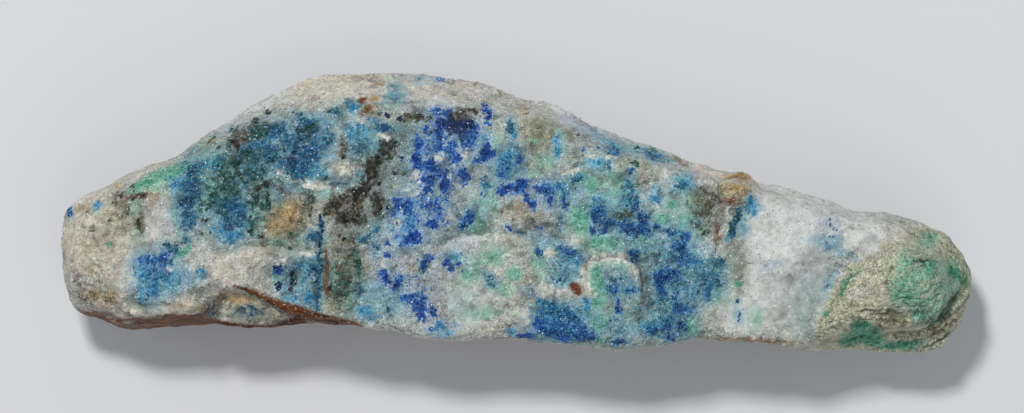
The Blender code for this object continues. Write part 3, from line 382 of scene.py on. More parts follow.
# Grains of mineral, laid over the stains in this order.
GRAINS = {
    "malachite": mineral(((54, 136, 110), (100, 172, 146), (148, 202, 180)), {
        0.3: [(26.6, -12, 0.6, 1.1), (23, -8.8, 1.4, 0.7)],
        0.35: [(3.3, 5.6, 0.8, 0.6)],
        0.4: [(-2.8, 1.4, 1), (-2.2, -4.6, 0.9, 0.6), (-1, 4.2, 1, 0.4, 20), (11.6, 2.4, 1.2, 0.9),
            (-3.8, -11.2, 1.4, 0.5), (-1.4, -8.6, 0.7, 0.6), (-19.6, 2.2, 0.4, 0.3)],
        0.5: [(-4.6, -1.6, 1.2, 0.6), (9.2, -12.4, 0.9, 1), (2.4, -5.6, 0.6, 0.7),
            (-21.2, -3, 0.35, 0.6)],
        0.6: [(-5.3, -6.9, 1, 0.7), (-0.3, -6.9, 0.7), (10.3, 4.3, 0.8, 0.5),
            (18.8, -0.9, 1.1, 0.7), (14.2, -3, 1, 0.7), (19.6, -12.6, 0.8), (-26.9, -7.4, 0.5, 1),
            (1.8, 8, 0.3), (6.4, 4.4, 0.6, 0.3)],
        0.7: [(8.3, 3.2, 0.8), (7, -0.8, 1.1, 1.6), (9.6, -3.4, 2.2, 0.8), (9, -7, 0.8, 1.2),
            (9.2, -9.4, 0.9, 1.3), (16.2, -0.6, 0.9, 0.5), (-34.8, 6.6, 0.7, 0.35)],
        0.8: [(-45.6, -3.6, 0.3), (17.5, 0.9, 0.6, 0.5), (0.1, 9.2, 0.15, 0.7),
            (9.4, -14.4, 0.7, 0.2)],
        0.9: [(-37.8, 4.8, 0.8, 0.5)],
        1: [(24.9, -8.1, 0.5, 0.35)],
    }, [
        (0.95, [(-43.4, 2.5, 0.4), (-42, 3.1, 0.7), (-40.4, 4, 0.65), (-38.6, 4.5, 0.65),
            (-36.8, 5.3, 0.5)]),
        (1, [(-38, -4.9, 0.3), (-37.2, -4.5, 0.4), (-36.6, -3.8, 0.35)]),
    ], edge=1.2),
    "turquoise": mineral(((18, 96, 142), (56, 140, 180), (124, 184, 202)), {
        0.3: [(13.8, -1.4, 1.2, 0.8), (18.6, -4.4, 1.4), (11.4, 0.9, 0.7, 0.6),
            (-9.9, 10.2, 0.8, 0.4), (-29.4, -2.6, 0.6, 0.5), (-20.9, 6.6, 0.8, 1.2)],
        0.35: [(17.8, -9.4, 0.7, 1.6)],
        0.4: [(13.2, -10.4, 0.9, 0.7), (-23.5, -7.4, 0.6, 0.9), (-24.4, -6, 1.2, 0.6),
            (-15.8, -11.8, 0.8, 0.5), (15.6, 2.9, 0.5, 0.6), (-36.8, 3.4, 0.7, 1.2),
            (-24.6, 8.6, 0.9), (-5.2, 5.6, 0.6, 0.4, 30), (-32.8, 0.8, 0.6, 0.5)],
        0.5: [(4, -12.2, 1.6, 0.8), (15, -12.8, 1, 0.6), (19.6, -9, 0.9, 1.2),
            (-33.2, -1.8, 1, 0.8), (-21.6, 9.6, 0.8), (-12.5, -2, 0.6, 0.7), (15, -12.8, 1, 0.5),
            (19, 3.6, 0.9), (21.2, -4.2, 0.8, 0.4), (12.9, -8.6, 0.9, 0.6), (-34.2, 5.4, 1.2, 0.7),
            (5, -12.4, 3, 1.6)],
        0.6: [(3.6, 2.6, 0.9), (-41.2, -8.8, 1.2), (-39.8, -7.6, 1.8, 1.2),
            (-26.4, 5.5, 1, 0.4, -25), (-23, -2, 0.6, 0.3), (-15.8, 10.4, 0.9, 0.35),
            (-22.6, 4.6, 1.4, 1), (-11.8, -0.9, 0.7, 1), (12.5, 3.1, 0.5, 0.8), (6.6, -5.3, 1, 0.9),
            (2.6, -10, 0.6, 0.5), (26.2, 0.2, 0.6, 0.5), (-3.4, 8.4, 0.7, 0.5), (10.6, 7.4, 1, 0.5),
            (17.3, -2.6, 0.8, 0.5), (23.7, -2.8, 0.5, 0.4)],
        0.7: [(-38.2, 3.2, 0.7, 0.8), (-42, -6.8, 0.8, 0.9), (-27.2, 8.6, 0.6, 0.4),
            (-7.6, -13.4, 0.6, 0.5), (-17, -11, 0.9, 0.6), (6.9, 4.1, 0.8, 0.5),
            (4.9, 2.8, 0.7, 0.9), (8.7, 5.8, 1, 0.4), (-1.5, 5.4, 0.8, 0.9),
            (-3.6, 2.9, 0.5, 0.6, -30), (4.4, 8.3, 0.3, 0.5), (-0.7, -13.2, 0.5, 0.4)],
        0.8: [(-46.8, 0.9, 0.5, 0.5, 35), (-35.4, -6.8, 0.6), (-28.8, 7.6, 1.1, 0.5),
            (-32, -2.7, 1.3, 0.7), (-25.4, -9.6, 0.6, 0.3), (-17.8, 8.9, 1.1, 1),
            (-6.8, -4.9, 0.8, 0.5), (15.5, 1.4, 0.9, 0.4), (-0.7, 6.6, 0.9, 0.6),
            (-0.4, 8.7, 0.3, 0.5), (4.6, 7, 0.3, 0.9), (3.4, -10.6, 1.5, 0.8)],
        0.9: [(-23.2, -9.6, 0.7, 0.8), (-18.4, 11.9, 0.8, 0.6), (-8.6, -12.6, 0.6, 0.5),
            (9, 1.5, 0.6, 0.4), (7.9, -10.2, 0.5, 0.7), (26.3, 1, 0.5, 0.9),
            (20.4, -5.4, 0.7, 0.5)],
    }, edge=1.5),
    "teal_blue": mineral(((8, 50, 76), (28, 96, 128), (90, 148, 164)), {
        0.15: [(-30, -11, 1.3, 0.7)],
        0.3: [(-14.2, -9.8, 1.8, 1)],
        0.35: [(-27, 7, 6.4, 2.8, 18), (-32.2, 0.2, 2.4, 3.2), (11.2, -12.8, 1.6, 1.2)],
        0.4: [(-40.6, -9.2, 1.4, 0.7), (-24.2, -7.4, 1.7, 2.2), (-13.6, 13.4, 0.9, 1),
            (-11, 15, 0.5, 0.4), (5.4, -6.2, 1.2), (15.2, -10.4, 1, 0.8), (25.6, -1.2, 0.4, 0.7)],
        0.42: [(17.8, -7.6, 2.8, 6)],
        0.5: [(-36.6, 2.8, 1.2, 3.8, -8), (-38.4, -7.8, 1.2, 0.5), (5.8, -4.5, 1.3, 0.6, -20),
            (10.8, -8, 1, 0.9), (15.8, -12.8, 1.4, 1.1), (5.6, -11.6, 2.6, 1.4),
            (5, -1.2, 0.5, 1.2), (34.8, -8.3, 0.3, 0.6), (-10.8, -5.4, 0.2, 0.5),
            (-29.4, 5.6, 0.8, 0.5), (-35.6, 2.2, 0.5, 0.8), (20.2, -1, 0.4, 0.5),
            (-26.6, 1.8, 0.5, 0.4)],
        0.6: [(-25.3, 7.8, 1), (-17.3, 7.5, 1.4, 1), (-0.6, 6.4, 0.9, 0.6), (21.4, -8.8, 0.7),
            (9.4, 0.4, 1.2, 1), (10.1, 5.4, 0.4, 0.6)],
        0.7: [(-37, -3, 0.7, 0.6), (-29.6, 4.4, 0.8, 0.7), (-30.2, 3.2, 0.6, 0.5),
            (-15.8, -4.2, 0.3, 0.8), (-1.3, 5, 0.9, 1), (10.8, 7, 0.9, 0.6), (12.7, 2.8, 0.5, 0.9),
            (4.9, -7.5, 0.9, 0.4), (2.4, -4.5, 0.5, 0.6), (22.6, -5.6, 0.8, 0.5), (-6, -6.4, 0.3)],
        0.8: [(-35.2, 5.2, 0.7, 0.8), (-33.5, 5.7, 0.8, 0.7), (-42.2, -9.8, 0.5, 0.4),
            (-27.2, 6, 0.7, 0.5), (-21.6, 8.2, 1.3, 1.2), (-20.2, 11.2, 0.6),
            (-15.7, -1.9, 0.5, 0.7), (-14.4, -11, 0.5, 0.3), (-17.5, -8.8, 0.35, 0.6),
            (12.7, 1.4, 0.9, 1.2), (21.6, -7.4, 1.3, 1.1), (13.3, -4.6, 0.7),
            (0.6, -2.1, 0.6, 0.2)],
        0.9: [(-36.7, 5.2, 0.8), (-36.4, 3.3, 0.8, 0.9), (-37.1, 0.9, 0.7, 0.8),
            (-36.3, 1.6, 0.6, 1), (-36.6, -0.8, 0.9, 1), (-38.4, -4.1, 0.8, 0.7),
            (-39.2, -3.5, 0.5, 0.4), (-31.8, 0.6, 1.5, 1.2), (-31.6, -1.2, 1.4, 0.9),
            (-28.6, 7, 1.7, 0.9), (-17, -2.8, 0.8, 0.45, 15), (14.9, 6.6, 1.1, 0.45, -20),
            (6.9, 3.7, 0.8, 0.5), (18.3, 3, 0.9, 0.6)],
        1: [(-26.7, 9.2, 1.1, 0.8), (-24.6, 11, 0.6, 0.35), (-23.4, 10.2, 0.9, 0.4),
            (-24.5, 4.8, 1.5, 1.3), (-23.3, 6.6, 1.2, 1.3), (-14.9, 9.5, 1, 0.4),
            (-22.8, -2.8, 0.9, 0.6), (-22.6, -6.2, 0.8, 0.6), (-0.7, 9.5, 0.4, 0.9),
            (-3, -7.7, 0.45, 0.8, 30)],
    }, [
        (0.9, [(-21.9, -0.6, 0.25), (-21.9, -2.2, 0.35), (-22, -4.2, 0.3), (-22.1, -6.2, 0.35),
            (-22.2, -8.4, 0.35), (-22.4, -10.8, 0.3)]),
        (0.9, [(25.1, 0.8, 0.2), (24.7, -0.6, 0.35), (24.1, -1.8, 0.4), (23.8, -3, 0.25)]),
        (0.7, [(-5, 5.5, 0.25), (-4.2, 6.1, 0.3), (-3.4, 6.8, 0.4)]),
        (0.8, [(-3.8, 3.8, 0.2), (-3.5, 3.1, 0.3), (-2.6, 3, 0.25)]),
    ], edge=1.5),
    "azurite": mineral(((14, 38, 108), (28, 84, 164), (92, 148, 198)), {
        0.2: [(-40.4, -6.6, 1.8, 1.1)],
        0.3: [(-11.6, -8.6, 3.4, 2.4, -30), (3.4, -10.9, 1, 0.5), (-22.2, 6.8, 0.6, 0.8)],
        0.35: [(-41.3, -5.2, 1.3, 0.7), (-23.2, 6.6, 0.9)],
        0.36: [(-12.4, -1.4, 2.2, 3.4)],
        0.4: [(-9, 4.8, 3.2, 6), (-39.5, -5, 0.9, 0.8), (-26.8, 9, 0.9, 0.5)],
        0.5: [(-27.2, 7.3, 0.7, 0.4), (17, -6.8, 1.3, 0.8), (2.6, -1.7, 0.5, 0.3)],
        0.6: [(18.2, -5.4, 0.7, 0.5), (-8.7, 14.9, 0.5, 0.3), (-13.6, 0.2, 0.35, 0.7)],
        0.7: [(18.4, -11, 0.8, 0.35), (17, -12.8, 0.8, 0.5), (5.2, -14, 1.2, 0.5),
            (7.4, -13.6, 0.9, 0.5), (-3.6, 3.4, 0.3, 0.5), (-11.9, -0.8, 0.6, 0.7),
            (18.9, -3, 0.4, 0.9), (7.4, 7.1, 0.2, 0.3)],
        0.8: [(17.3, -6.9, 0.6), (16.2, -8.7, 0.5, 0.7), (18.8, -2.8, 0.4, 0.8),
            (-3.2, 7.6, 0.5, 0.4), (-12.6, -3.3, 0.5), (2.4, -4.3, 0.45, 0.4)],
        0.9: [(16.2, -7.2, 0.9, 0.6), (-26.7, -6.5, 0.5, 0.45), (-1.6, 4.3, 0.75, 0.6),
            (2.6, -12.3, 0.8, 1)],
        1: [(-8.5, 11.2, 1.1, 0.4), (-4.6, 9.6, 0.7, 0.45), (-8.5, 9.2, 0.6, 1.5),
            (-8.8, 7.2, 0.6, 0.7), (-7.2, 6.9, 0.5, 1), (-6.8, 6, 0.5, 0.6), (-5.4, 8, 0.8),
            (-4.8, 9, 0.7, 0.8), (-10.9, 7.7, 0.5, 0.6), (-10.1, 9.2, 0.35, 0.4),
            (-11.2, 6, 0.4, 1), (-10, 5.3, 0.9, 0.5), (-9.2, 4.7, 0.9, 0.7), (-10.1, 3.7, 0.8, 0.4),
            (-10.1, 2.8, 0.5, 0.8), (-9.6, 3, 0.3, 0.4), (-10.1, 0.9, 0.5, 0.4, -30),
            (-9, 0.6, 0.35, 0.9), (-8, 3.4, 0.35, 1), (-7.9, 1.8, 0.25, 0.3), (-8.7, -0.3, 0.6),
            (-9.4, -1.2, 0.6, 0.5), (-7.8, -1.2, 0.15, 0.35), (-3.2, 6.6, 0.8, 0.7),
            (-4, 5.9, 0.8, 0.35), (-6, 4.4, 0.5, 0.6), (-5.3, 4, 0.3), (-5.9, 3.4, 0.15, 0.4),
            (-3.8, 2.1, 0.2, 0.3), (0.2, 5.8, 0.35, 0.6), (-0.3, 2.75, 1.7, 0.75, 10),
            (-1.3, 2.4, 0.6, 0.4), (0.7, 3.3, 0.6, 0.5), (3.2, 2.6, 0.9, 0.85),
            (3.7, 1.5, 0.45, 0.9), (2.4, 2.8, 0.4, 0.3), (-5.4, -0.6, 0.5, 0.9, -35),
            (-5.9, -1.3, 0.4, 0.35), (-3.7, -0.6, 0.2, 0.35), (-0.8, -1.7, 0.5, 0.22, -25),
            (-7.8, -5.5, 0.5), (-7.3, -6.3, 0.3, 0.5), (-6.4, -5.6, 0.5, 0.25),
            (-12.4, 0.8, 0.9, 0.7), (-13.4, 1.3, 0.35, 0.4), (-11.4, -2.7, 0.8),
            (-14.5, -4.8, 0.45, 0.35), (-14.6, -3.5, 0.3), (-9.8, -5.1, 0.5, 0.4),
            (-10.3, -5.9, 0.3, 0.6), (-14.8, -6.9, 0.45, 0.6), (-14.6, -7.8, 0.5, 0.3),
            (-13.2, -7.5, 0.45, 0.6), (-13.6, -8.3, 0.5, 0.25), (-12.4, -9.5, 0.7, 0.45),
            (-11.1, -9.7, 0.7, 0.6), (-10.9, -10.7, 0.8, 0.6), (-10.6, -11.8, 0.5, 0.4),
            (-9.4, -11.2, 0.35, 0.5), (-9.5, -13.1, 0.6, 0.2), (1, -13.7, 1.1, 0.3),
            (11.3, -10.3, 0.3, 1), (11.7, -10.9, 0.25, 0.4), (9.1, 7.4, 0.25, 0.4)],
    }, [
        (1, [(-3.9, 12, 0.2), (-3.3, 11.7, 0.35), (-3, 11, 0.4), (-3.2, 10.1, 0.25)]),
        (1, [(0.9, 2.2, 0.3), (1.4, 1.6, 0.4), (1.9, 0.9, 0.32), (2, 0.4, 0.14)]),
    ], edge=2),
    "deep_blue": mineral(((12, 44, 94), (34, 94, 154), (98, 158, 190)), {
        0.2: [(17.4, -7.4, 2.4, 5.4), (34.8, -3.5, 0.8, 0.35)],
        0.3: [(22.4, -7.4, 0.8, 0.6)],
        0.35: [(-41, -8.6, 1.2, 0.8), (-24.2, 4.6, 1.2)],
        0.4: [(3.4, -10.8, 1, 0.6), (9.2, 0.4, 1, 0.7), (-23.4, 6.4, 1), (-31.6, 0.4, 1.2, 1),
            (27.9, -5.9, 0.14, 0.12), (20.8, -6.4, 0.5)],
        0.5: [(12.8, 0.9, 0.5, 0.7), (-36.2, -0.6, 0.5), (-4.9, 8.4, 0.6)],
        0.55: [(-40.2, -6.8, 1.9, 1.1), (-1.2, 5.3, 0.9, 1.2, -20)],
        0.6: [(-37.2, 0.7, 0.4)],
        0.7: [(-41.4, -5.4, 1.1, 0.7), (14.6, -2.4, 0.5, 0.6), (-36.2, 3, 0.6),
            (35, -1.2, 0.12, 0.3), (5.7, -4.3, 1.1, 0.5, -20)],
        0.8: [(-39.7, -5.2, 0.8), (4.8, 3, 0.5, 0.6), (9.5, 0, 0.6, 0.5), (13.4, 0.6, 0.35, 0.8),
            (12.8, -8.7, 0.8, 0.5), (17.8, -7, 0.6, 0.8), (17.8, -9.8, 0.4, 1.2),
            (17.4, -11.6, 0.6, 0.4), (3.6, -13.4, 1, 0.5), (15.9, 6.2, 0.6, 0.3),
            (-14.9, 9.4, 0.9, 0.3), (35.6, -1.7, 0.2, 0.1), (35.4, -2.7, 0.15, 0.12),
            (34.9, -3.8, 0.3, 0.12), (-5.4, -0.6, 0.6, 1, -35), (-5.9, -1.3, 0.45, 0.4)],
        0.9: [(18.9, -5.2, 0.8, 0.9), (5.6, -11.3, 1.2, 0.6), (21.3, -8.9, 0.6)],
        1: [(-50.1, 0.1, 0.3, 0.5), (5.4, 1.3, 0.5, 1.1), (8.8, -0.3, 0.5, 1),
            (10.1, -1.2, 0.9, 0.55), (9.8, -2.1, 0.4, 0.5), (8.7, -1.9, 0.5),
            (11.4, -1.1, 0.7, 0.4), (12.4, -1.7, 0.9, 0.75), (13.2, -2.3, 0.6),
            (14.2, -0.4, 0.55, 0.75), (14.2, -1.6, 0.7), (12.8, 4.6, 0.3, 0.4),
            (15.7, -1.6, 0.45, 0.3), (17.2, -2.2, 0.6, 0.35), (18.8, -2.9, 0.4, 0.9),
            (18.1, -3.7, 0.9, 0.6), (13.3, -4.5, 0.6, 0.55), (12.8, -5.1, 0.25, 0.3),
            (10.9, -8.6, 0.6, 0.7), (11.8, -7.4, 0.3, 0.25), (16.6, -7, 1.3, 0.75),
            (15.8, -7.9, 0.5, 0.9), (16.3, -8.9, 0.4, 0.7), (18.6, -10.9, 0.9, 0.5),
            (18.7, -12.8, 0.6, 0.7), (16.6, -12.6, 0.7, 0.55), (17.2, -13.9, 0.8, 0.4),
            (15.1, -13.2, 0.8, 0.35), (11.2, -14.5, 1, 0.3), (4.7, -12.6, 1.5, 1.2),
            (6.4, -12.1, 1, 0.9), (7.2, -13.5, 1.3, 0.7), (8.2, -13.7, 0.8, 0.4),
            (11.1, 6.8, 0.45, 0.35), (-35.1, -6.8, 0.3, 0.25), (24.8, -11.6, 0.25, 0.45),
            (24.6, -9.9, 0.15), (26.5, 0, 0.15)],
    }, edge=1.7),
    "navy": mineral(((8, 18, 44), (20, 42, 86), (54, 88, 126)), {
        0.12: [(17.4, -8, 2.4, 5.8)],
        0.15: [(12, -1.2, 3, 1), (5.2, -12.6, 2.6, 1.4)],
        0.3: [(16.6, -12.6, 0.6, 0.4), (5, -1.2, 0.4, 1)],
        0.35: [(16.5, -7, 1, 0.5), (7.6, -13.6, 1.2, 0.5), (-17.4, 7.4, 1.4)],
        0.36: [(-9, 6, 1.4, 4.6)],
        0.38: [(-27.6, 7.4, 6, 2.6, 20)],
        0.4: [(-36.2, 3.2, 0.6, 0.8), (-36.6, 1.6, 0.8, 3.6, -8), (18.6, -11, 0.8, 0.4),
            (-10.8, -10.6, 0.6, 0.5), (-31.6, -0.4, 2, 2.4), (-24, 5.8, 1.9, 2.4)],
        0.45: [(-29.8, -10.9, 1.5, 0.8)],
        0.5: [(-9, 11.1, 0.9, 0.3), (-7.3, 9.2, 0.5, 1), (-8.5, 8.6, 0.5, 0.9), (-8, 3.2, 0.3, 0.9),
            (-0.1, 2.8, 0.8, 0.45), (3.3, 2.5, 0.6), (-39.7, -5.3, 0.5), (10, -1, 0.8, 0.5),
            (14.2, -1, 0.5, 0.8), (13.2, -4.8, 0.5), (15.7, -7.8, 0.4, 0.8), (18.6, -12.8, 0.5),
            (-28.8, 9, 1.1, 0.7), (-11, -9.8, 0.8, 0.5), (2.4, -1.5, 0.8, 0.25)],
        0.6: [(-8, 10.3, 1.3, 0.5), (12.4, -1.7, 0.7, 0.6), (13.2, -2.3, 0.5, 0.4),
            (11.2, -14.5, 0.9, 0.25), (-23.8, 8.8, 0.9, 1.2), (-29.6, 4.2, 0.6, 0.5),
            (-9.4, -11.2, 0.3, 0.4), (-10.2, -6.2, 0.3, 0.4), (8.6, -1.8, 0.4, 0.5),
            (13.4, 0.7, 0.25, 0.6)],
        0.7: [(-5.7, 9.7, 1.2, 1), (-22.8, 9.4, 0.6), (-7.3, -6.4, 0.25, 0.45),
            (12.8, 4.5, 0.25, 0.3)],
        0.8: [(-13.4, 4.6, 0.35, 0.4), (-14.4, 0.5, 0.3, 0.8), (24.8, -11.6, 0.2, 0.35)],
        0.9: [(-5.8, 8.9, 0.9, 0.8)],
        1: [(-6.5, 9.8, 1.6, 0.9), (-42.8, -6.1, 0.22, 0.2), (-38.6, -5.6, 0.3, 0.15, -30),
            (-38, -6.2, 0.25, 0.12), (-26.8, -6, 0.4, 0.3), (-26.6, -8, 0.4, 0.5),
            (35, -1.2, 0.14, 0.35), (-18.8, 12.6, 0.25, 0.15), (-12.8, 6.2, 0.5, 0.2, -30),
            (-13.1, 10.5, 0.4, 0.35), (-14.6, 10.9, 0.3), (-15.3, 11, 0.25), (26.5, 0, 0.15)],
    }, [
        (0.8, [(-21.8, -0.2, 0.2), (-21.8, -2, 0.25), (-22, -3.6, 0.3), (-21.9, -4.6, 0.2)]),
    ], edge=2.2),
    "pine_green": mineral(((10, 34, 34), (26, 68, 64), (78, 120, 110)), {
        0.25: [(-13.6, 13.9, 0.9, 0.6)],
        0.35: [(20.8, -0.8, 1.6, 1.8), (21.4, 1.6, 1.4, 1.1), (-36.2, 1.2, 1, 3.4, -8),
            (17.4, -8.6, 2.8, 5.4), (-29, 5.8, 5, 3.8, 15), (14, -3.6, 2.4, 1.4)],
        0.4: [(-23.6, 1.2, 0.7, 1.6), (-17.2, -0.2, 0.9, 0.7), (22.2, -6.8, 1.6),
            (-17.4, 7, 1.5, 1.4), (14.8, -9.2, 0.5, 0.8), (-22, -10.4, 0.4, 0.6), (6.8, -4.6, 0.4)],
        0.45: [(-33.4, 2.6, 2.2, 3.2), (-28.8, 0.8, 1.8, 3), (-18.8, -7.4, 1.8, 3.6),
            (-30.4, 5.4, 2.2)],
        0.5: [(-34.9, 0.6, 0.7, 0.6), (-23.8, 8.8, 0.9, 1.2), (-20.2, -9.8, 0.5, 0.8),
            (-15.6, 5.6, 0.6, 1.2), (10.2, 5.4, 0.4, 0.6), (16.6, -9.4, 0.5, 0.6)],
        0.6: [(-33, 0.4, 0.6, 0.8), (-29.7, -1.6, 0.7, 1.2), (-33.4, 7.5, 0.5, 0.3),
            (-25.2, -2.6, 0.5, 0.7), (-19.4, -8.2, 1, 1.5), (-15.4, 0, 0.6, 1.4),
            (12.2, -0.2, 1.3, 0.7)],
        0.7: [(-22.8, 9.6, 0.6), (-27.4, 5.8, 0.5, 0.35), (-18.1, -4.4, 0.6), (-13.7, 7.8, 0.5),
            (-12.6, 4.2, 0.5, 0.3), (24.3, -0.9, 0.45, 1.9, -22), (-21, 11.4, 0.6, 0.25),
            (-31.8, 9.3, 0.6, 0.5)],
        0.8: [(-29.3, 10.3, 0.5, 0.4), (-34.1, 1.7, 0.6, 0.5), (-33.9, 8.6, 0.4, 0.3),
            (-25.2, -3.9, 0.4, 0.3), (-17.7, -6, 0.5, 0.9), (-19.5, -6.2, 0.7),
            (-14.6, 7.4, 0.9, 1), (13.4, 7.3, 0.5, 0.3)],
        0.9: [(-28.9, 9.2, 1.3, 0.9, 15), (-32.6, 3.1, 0.6, 0.9), (-31.8, 2.3, 0.7, 0.9)],
        1: [(-28, 11.2, 0.5, 0.35), (-32.8, 4.4, 0.4, 0.35), (-28, 1.2, 0.5, 0.9),
            (-29.3, 1.2, 0.6, 0.5), (13.4, 5.5, 0.35, 0.3), (23.4, -5.8, 0.2)],
    }, edge=2),
    "manganese": mineral(((18, 20, 20), (46, 46, 42), (96, 94, 84)), {
        0.2: [(-49.2, -8.4, 0.6, 1.6, 15)],
        0.3: [(-47.2, -8.4, 2.4), (4.3, -6.2, 0.25, 1.2), (-26.6, 11.2, 0.8, 0.4),
            (21, -2.6, 0.8, 0.9)],
        0.4: [(-16.2, 5, 1.6, 2.6, -25), (21.6, 0.6, 0.8, 0.6), (22.6, 2.2, 0.8, 0.5),
            (20.8, -0.8, 1.4, 1.8), (-20.3, 6.8, 0.3, 0.5), (-22.9, 1.6, 0.6, 1),
            (4.2, -3.8, 0.3, 0.7), (0.9, -5, 0.2, 0.3), (14.3, -8.8, 0.25, 1.2),
            (17.6, -13.2, 0.5, 0.3)],
        0.42: [(-23.6, 0.4, 0.9, 2.6)],
        0.46: [(-18.2, 0.8, 3.4, 2.6, 10)],
        0.5: [(-44.8, 1.2, 0.3, 0.8), (21.5, 1.6, 1.3, 1), (-18.4, -3, 0.8, 0.5),
            (-45.4, -10, 0.4, 0.3), (13.6, -11.8, 0.25, 0.5), (12, -0.3, 1.3, 0.5)],
        0.6: [(-18, 0.8, 0.6, 1), (-6.3, 11.6, 0.8, 0.25, 15), (-31.4, 7.2, 0.6),
            (-29.6, 9.7, 0.5, 0.35), (-17.3, 12.7, 0.3), (23, 1.2, 0.5, 0.3), (0.8, -8, 0.2, 0.25),
            (-34.6, 7.6, 1.2, 0.15, 45), (-17.9, -10.6, 0.2)],
        0.7: [(-26.5, 2.6, 0.5, 0.3), (-19.3, 1.4, 0.6, 0.5), (-42, -1.6, 0.3, 0.8),
            (-42.3, -0.8, 0.3), (-43, 1.6, 0.6, 0.15, 15), (-35.2, -2.2, 0.3),
            (7.5, 6.3, 0.3, 0.25), (-25.9, 11.1, 0.15, 0.4)],
        0.8: [(-15.3, 10.9, 0.3, 0.25), (-13.5, 4.5, 0.4, 0.35), (-19.2, -0.6, 1, 0.8),
            (-15.6, 6, 0.5, 0.6), (-11.8, 10.6, 1, 0.35), (-47.3, -2.1, 0.35, 0.25),
            (-43, 2.9, 0.12, 0.4, -20), (22.2, -4, 0.3), (-20.9, -8.5, 0.5, 0.6),
            (-28.6, -2.6, 0.4, 0.3)],
        0.9: [(-11.7, 10.7, 1.3, 0.4, 4), (-25.1, -7.4, 0.3, 0.9, 8), (-20.8, 0.5, 0.9, 0.7),
            (-17.8, -0.7, 0.9, 0.8), (-16.3, 4.6, 0.7, 1.5), (-17.6, 2.3, 1, 0.5),
            (-15.4, 3.3, 0.4), (-15.5, 1, 0.6, 1.3), (-14.3, 7, 0.9, 1), (-15, 7.9, 0.6, 0.5),
            (-10.1, 10.5, 0.7, 0.25), (-44.2, 2, 0.45, 0.3), (-41.9, 2, 0.7, 0.3, 5)],
        0.95: [(-16.8, 2.9, 0.9, 0.7, 30), (-6.6, 10.9, 1.2, 0.45), (-31.3, 8.2, 1.2, 0.9, 10)],
        1: [(-28.9, 2.8, 0.4), (-27.9, 3.2, 0.4, 0.3), (-4.9, 11.3, 0.9, 0.26, -8),
            (-47.7, -1.5, 0.15), (-45.7, -0.9, 0.3, 0.2), (-44.8, -0.15, 0.25, 0.1),
            (-48, 0.2, 0.2), (-25.1, -7.4, 0.3, 0.9), (-25.3, -8.5, 0.3), (-35, -0.8, 0.3, 0.25),
            (-34.4, -2.4, 0.2), (-19.5, -2.9, 0.3), (-19.4, 6.2, 0.3, 0.35), (7, 8.6, 0.15, 0.2),
            (-13.8, 14.5, 0.3, 0.12)],
    }, edge=2),
    "rust_grains": mineral(((40, 34, 24), (84, 72, 50), (140, 126, 96)), {
        0.1: [(-26.8, -0.8, 1.4), (1.6, 8, 2.2, 2.8)],
        0.12: [(0.2, 0.4, 1.6, 1)],
        0.14: [(-25.4, 1.4, 1.4, 2.6)],
        0.15: [(1.2, -7, 0.5, 1.8), (13.4, -0.8, 1.4, 0.9)],
        0.2: [(13.9, -9.8, 0.5, 2.2), (4.4, -5.2, 0.4, 2.4), (-47.2, -2, 1.2, 0.9)],
        0.25: [(-16.4, 5.4, 0.8, 2)],
        0.3: [(-45.6, -9.4, 0.8), (-47.5, -9.2, 0.8, 0.7), (-48.4, 0.4, 0.8, 0.6),
            (-35, -10.9, 0.9, 0.5)],
        0.34: [(-43.4, 0.4, 2.4, 2.2), (-47.2, -8.8, 2.2)],
        0.35: [(-24.6, -0.8, 0.9, 1.6), (24.4, 2.8, 1.8, 1.6), (-5.4, 10.9, 1.2, 0.6),
            (-22, 4.4, 0.5, 0.8)],
        0.38: [(-19.2, 0.8, 2.6, 1.6)],
        0.4: [(-44.4, 1.7, 1.2, 0.9), (-42, -1.4, 0.6, 1.2), (-20.2, -10.2, 0.8, 1.6),
            (-31.6, 6.6, 0.4, 0.9), (-34.8, 7.6, 1.4, 0.3, 42)],
        0.42: [(-19, -6, 1.8, 4.4), (21.2, 1, 1.8, 2.2)],
        0.5: [(22.4, -2.4, 0.6, 1.4), (-17.2, 12.4, 0.6), (-42, 1.9, 1, 0.5),
            (-19.5, 7.4, 0.5, 1.4), (-30.8, 8.6, 1.2, 0.9), (-12, 10.7, 0.9, 0.5)],
        0.8: [(0.9, 11.2, 0.3, 0.25)],
    }, edge=1.9),
    "pale_crust_and_ledge_highlight": mineral(((160, 158, 146), (198, 198, 188), (228, 228, 220)), {
        0.3: [(16.7, 3.2, 0.6, 1.6)],
        0.35: [(16.7, -3.2, 0.5, 0.8), (-31.4, -5.6, 3, 1.3, 15)],
        0.4: [(-22, 13.2, 2, 0.6, 12), (-4.6, 12.6, 1.6, 0.5, -10), (-27, -9, 0.5)],
        0.5: [(-11.5, 2.8, 1.1, 0.9), (5.6, -9, 1.6, 0.6), (-0.9, -5.2, 0.9, 0.6),
            (-8.6, 12.6, 1.8, 0.4), (-17, 13.6, 3, 0.7), (-5.8, 6.4, 0.8, 0.5, 20),
            (-38.8, -6.3, 0.5), (-20, 2.2, 0.5, 0.4)],
        0.6: [(21.1, -4.6, 0.9, 0.7), (9.6, 6.4, 2.6, 0.3, -4), (-2.5, -6.4, 0.9, 0.25, -50),
            (-17.9, 10.2, 0.9, 0.4), (-13.4, -1.4, 0.5, 0.9)],
        0.7: [(-19.2, 4.9, 1.3, 0.9), (-11.3, 4.2, 0.8, 0.6), (-8.7, 6.3, 0.9, 0.5),
            (-23.7, -4.5, 1.3, 0.35, 12), (8.5, -9, 0.6), (-23, -4.6, 0.8, 0.35)],
        0.8: [(3.2, -8.5, 1.1, 0.8), (0.8, -11.6, 0.8, 1.1), (5.8, 4.7, 1.5, 0.35, 12),
            (-26.5, -5.3, 0.9, 0.4, 28)],
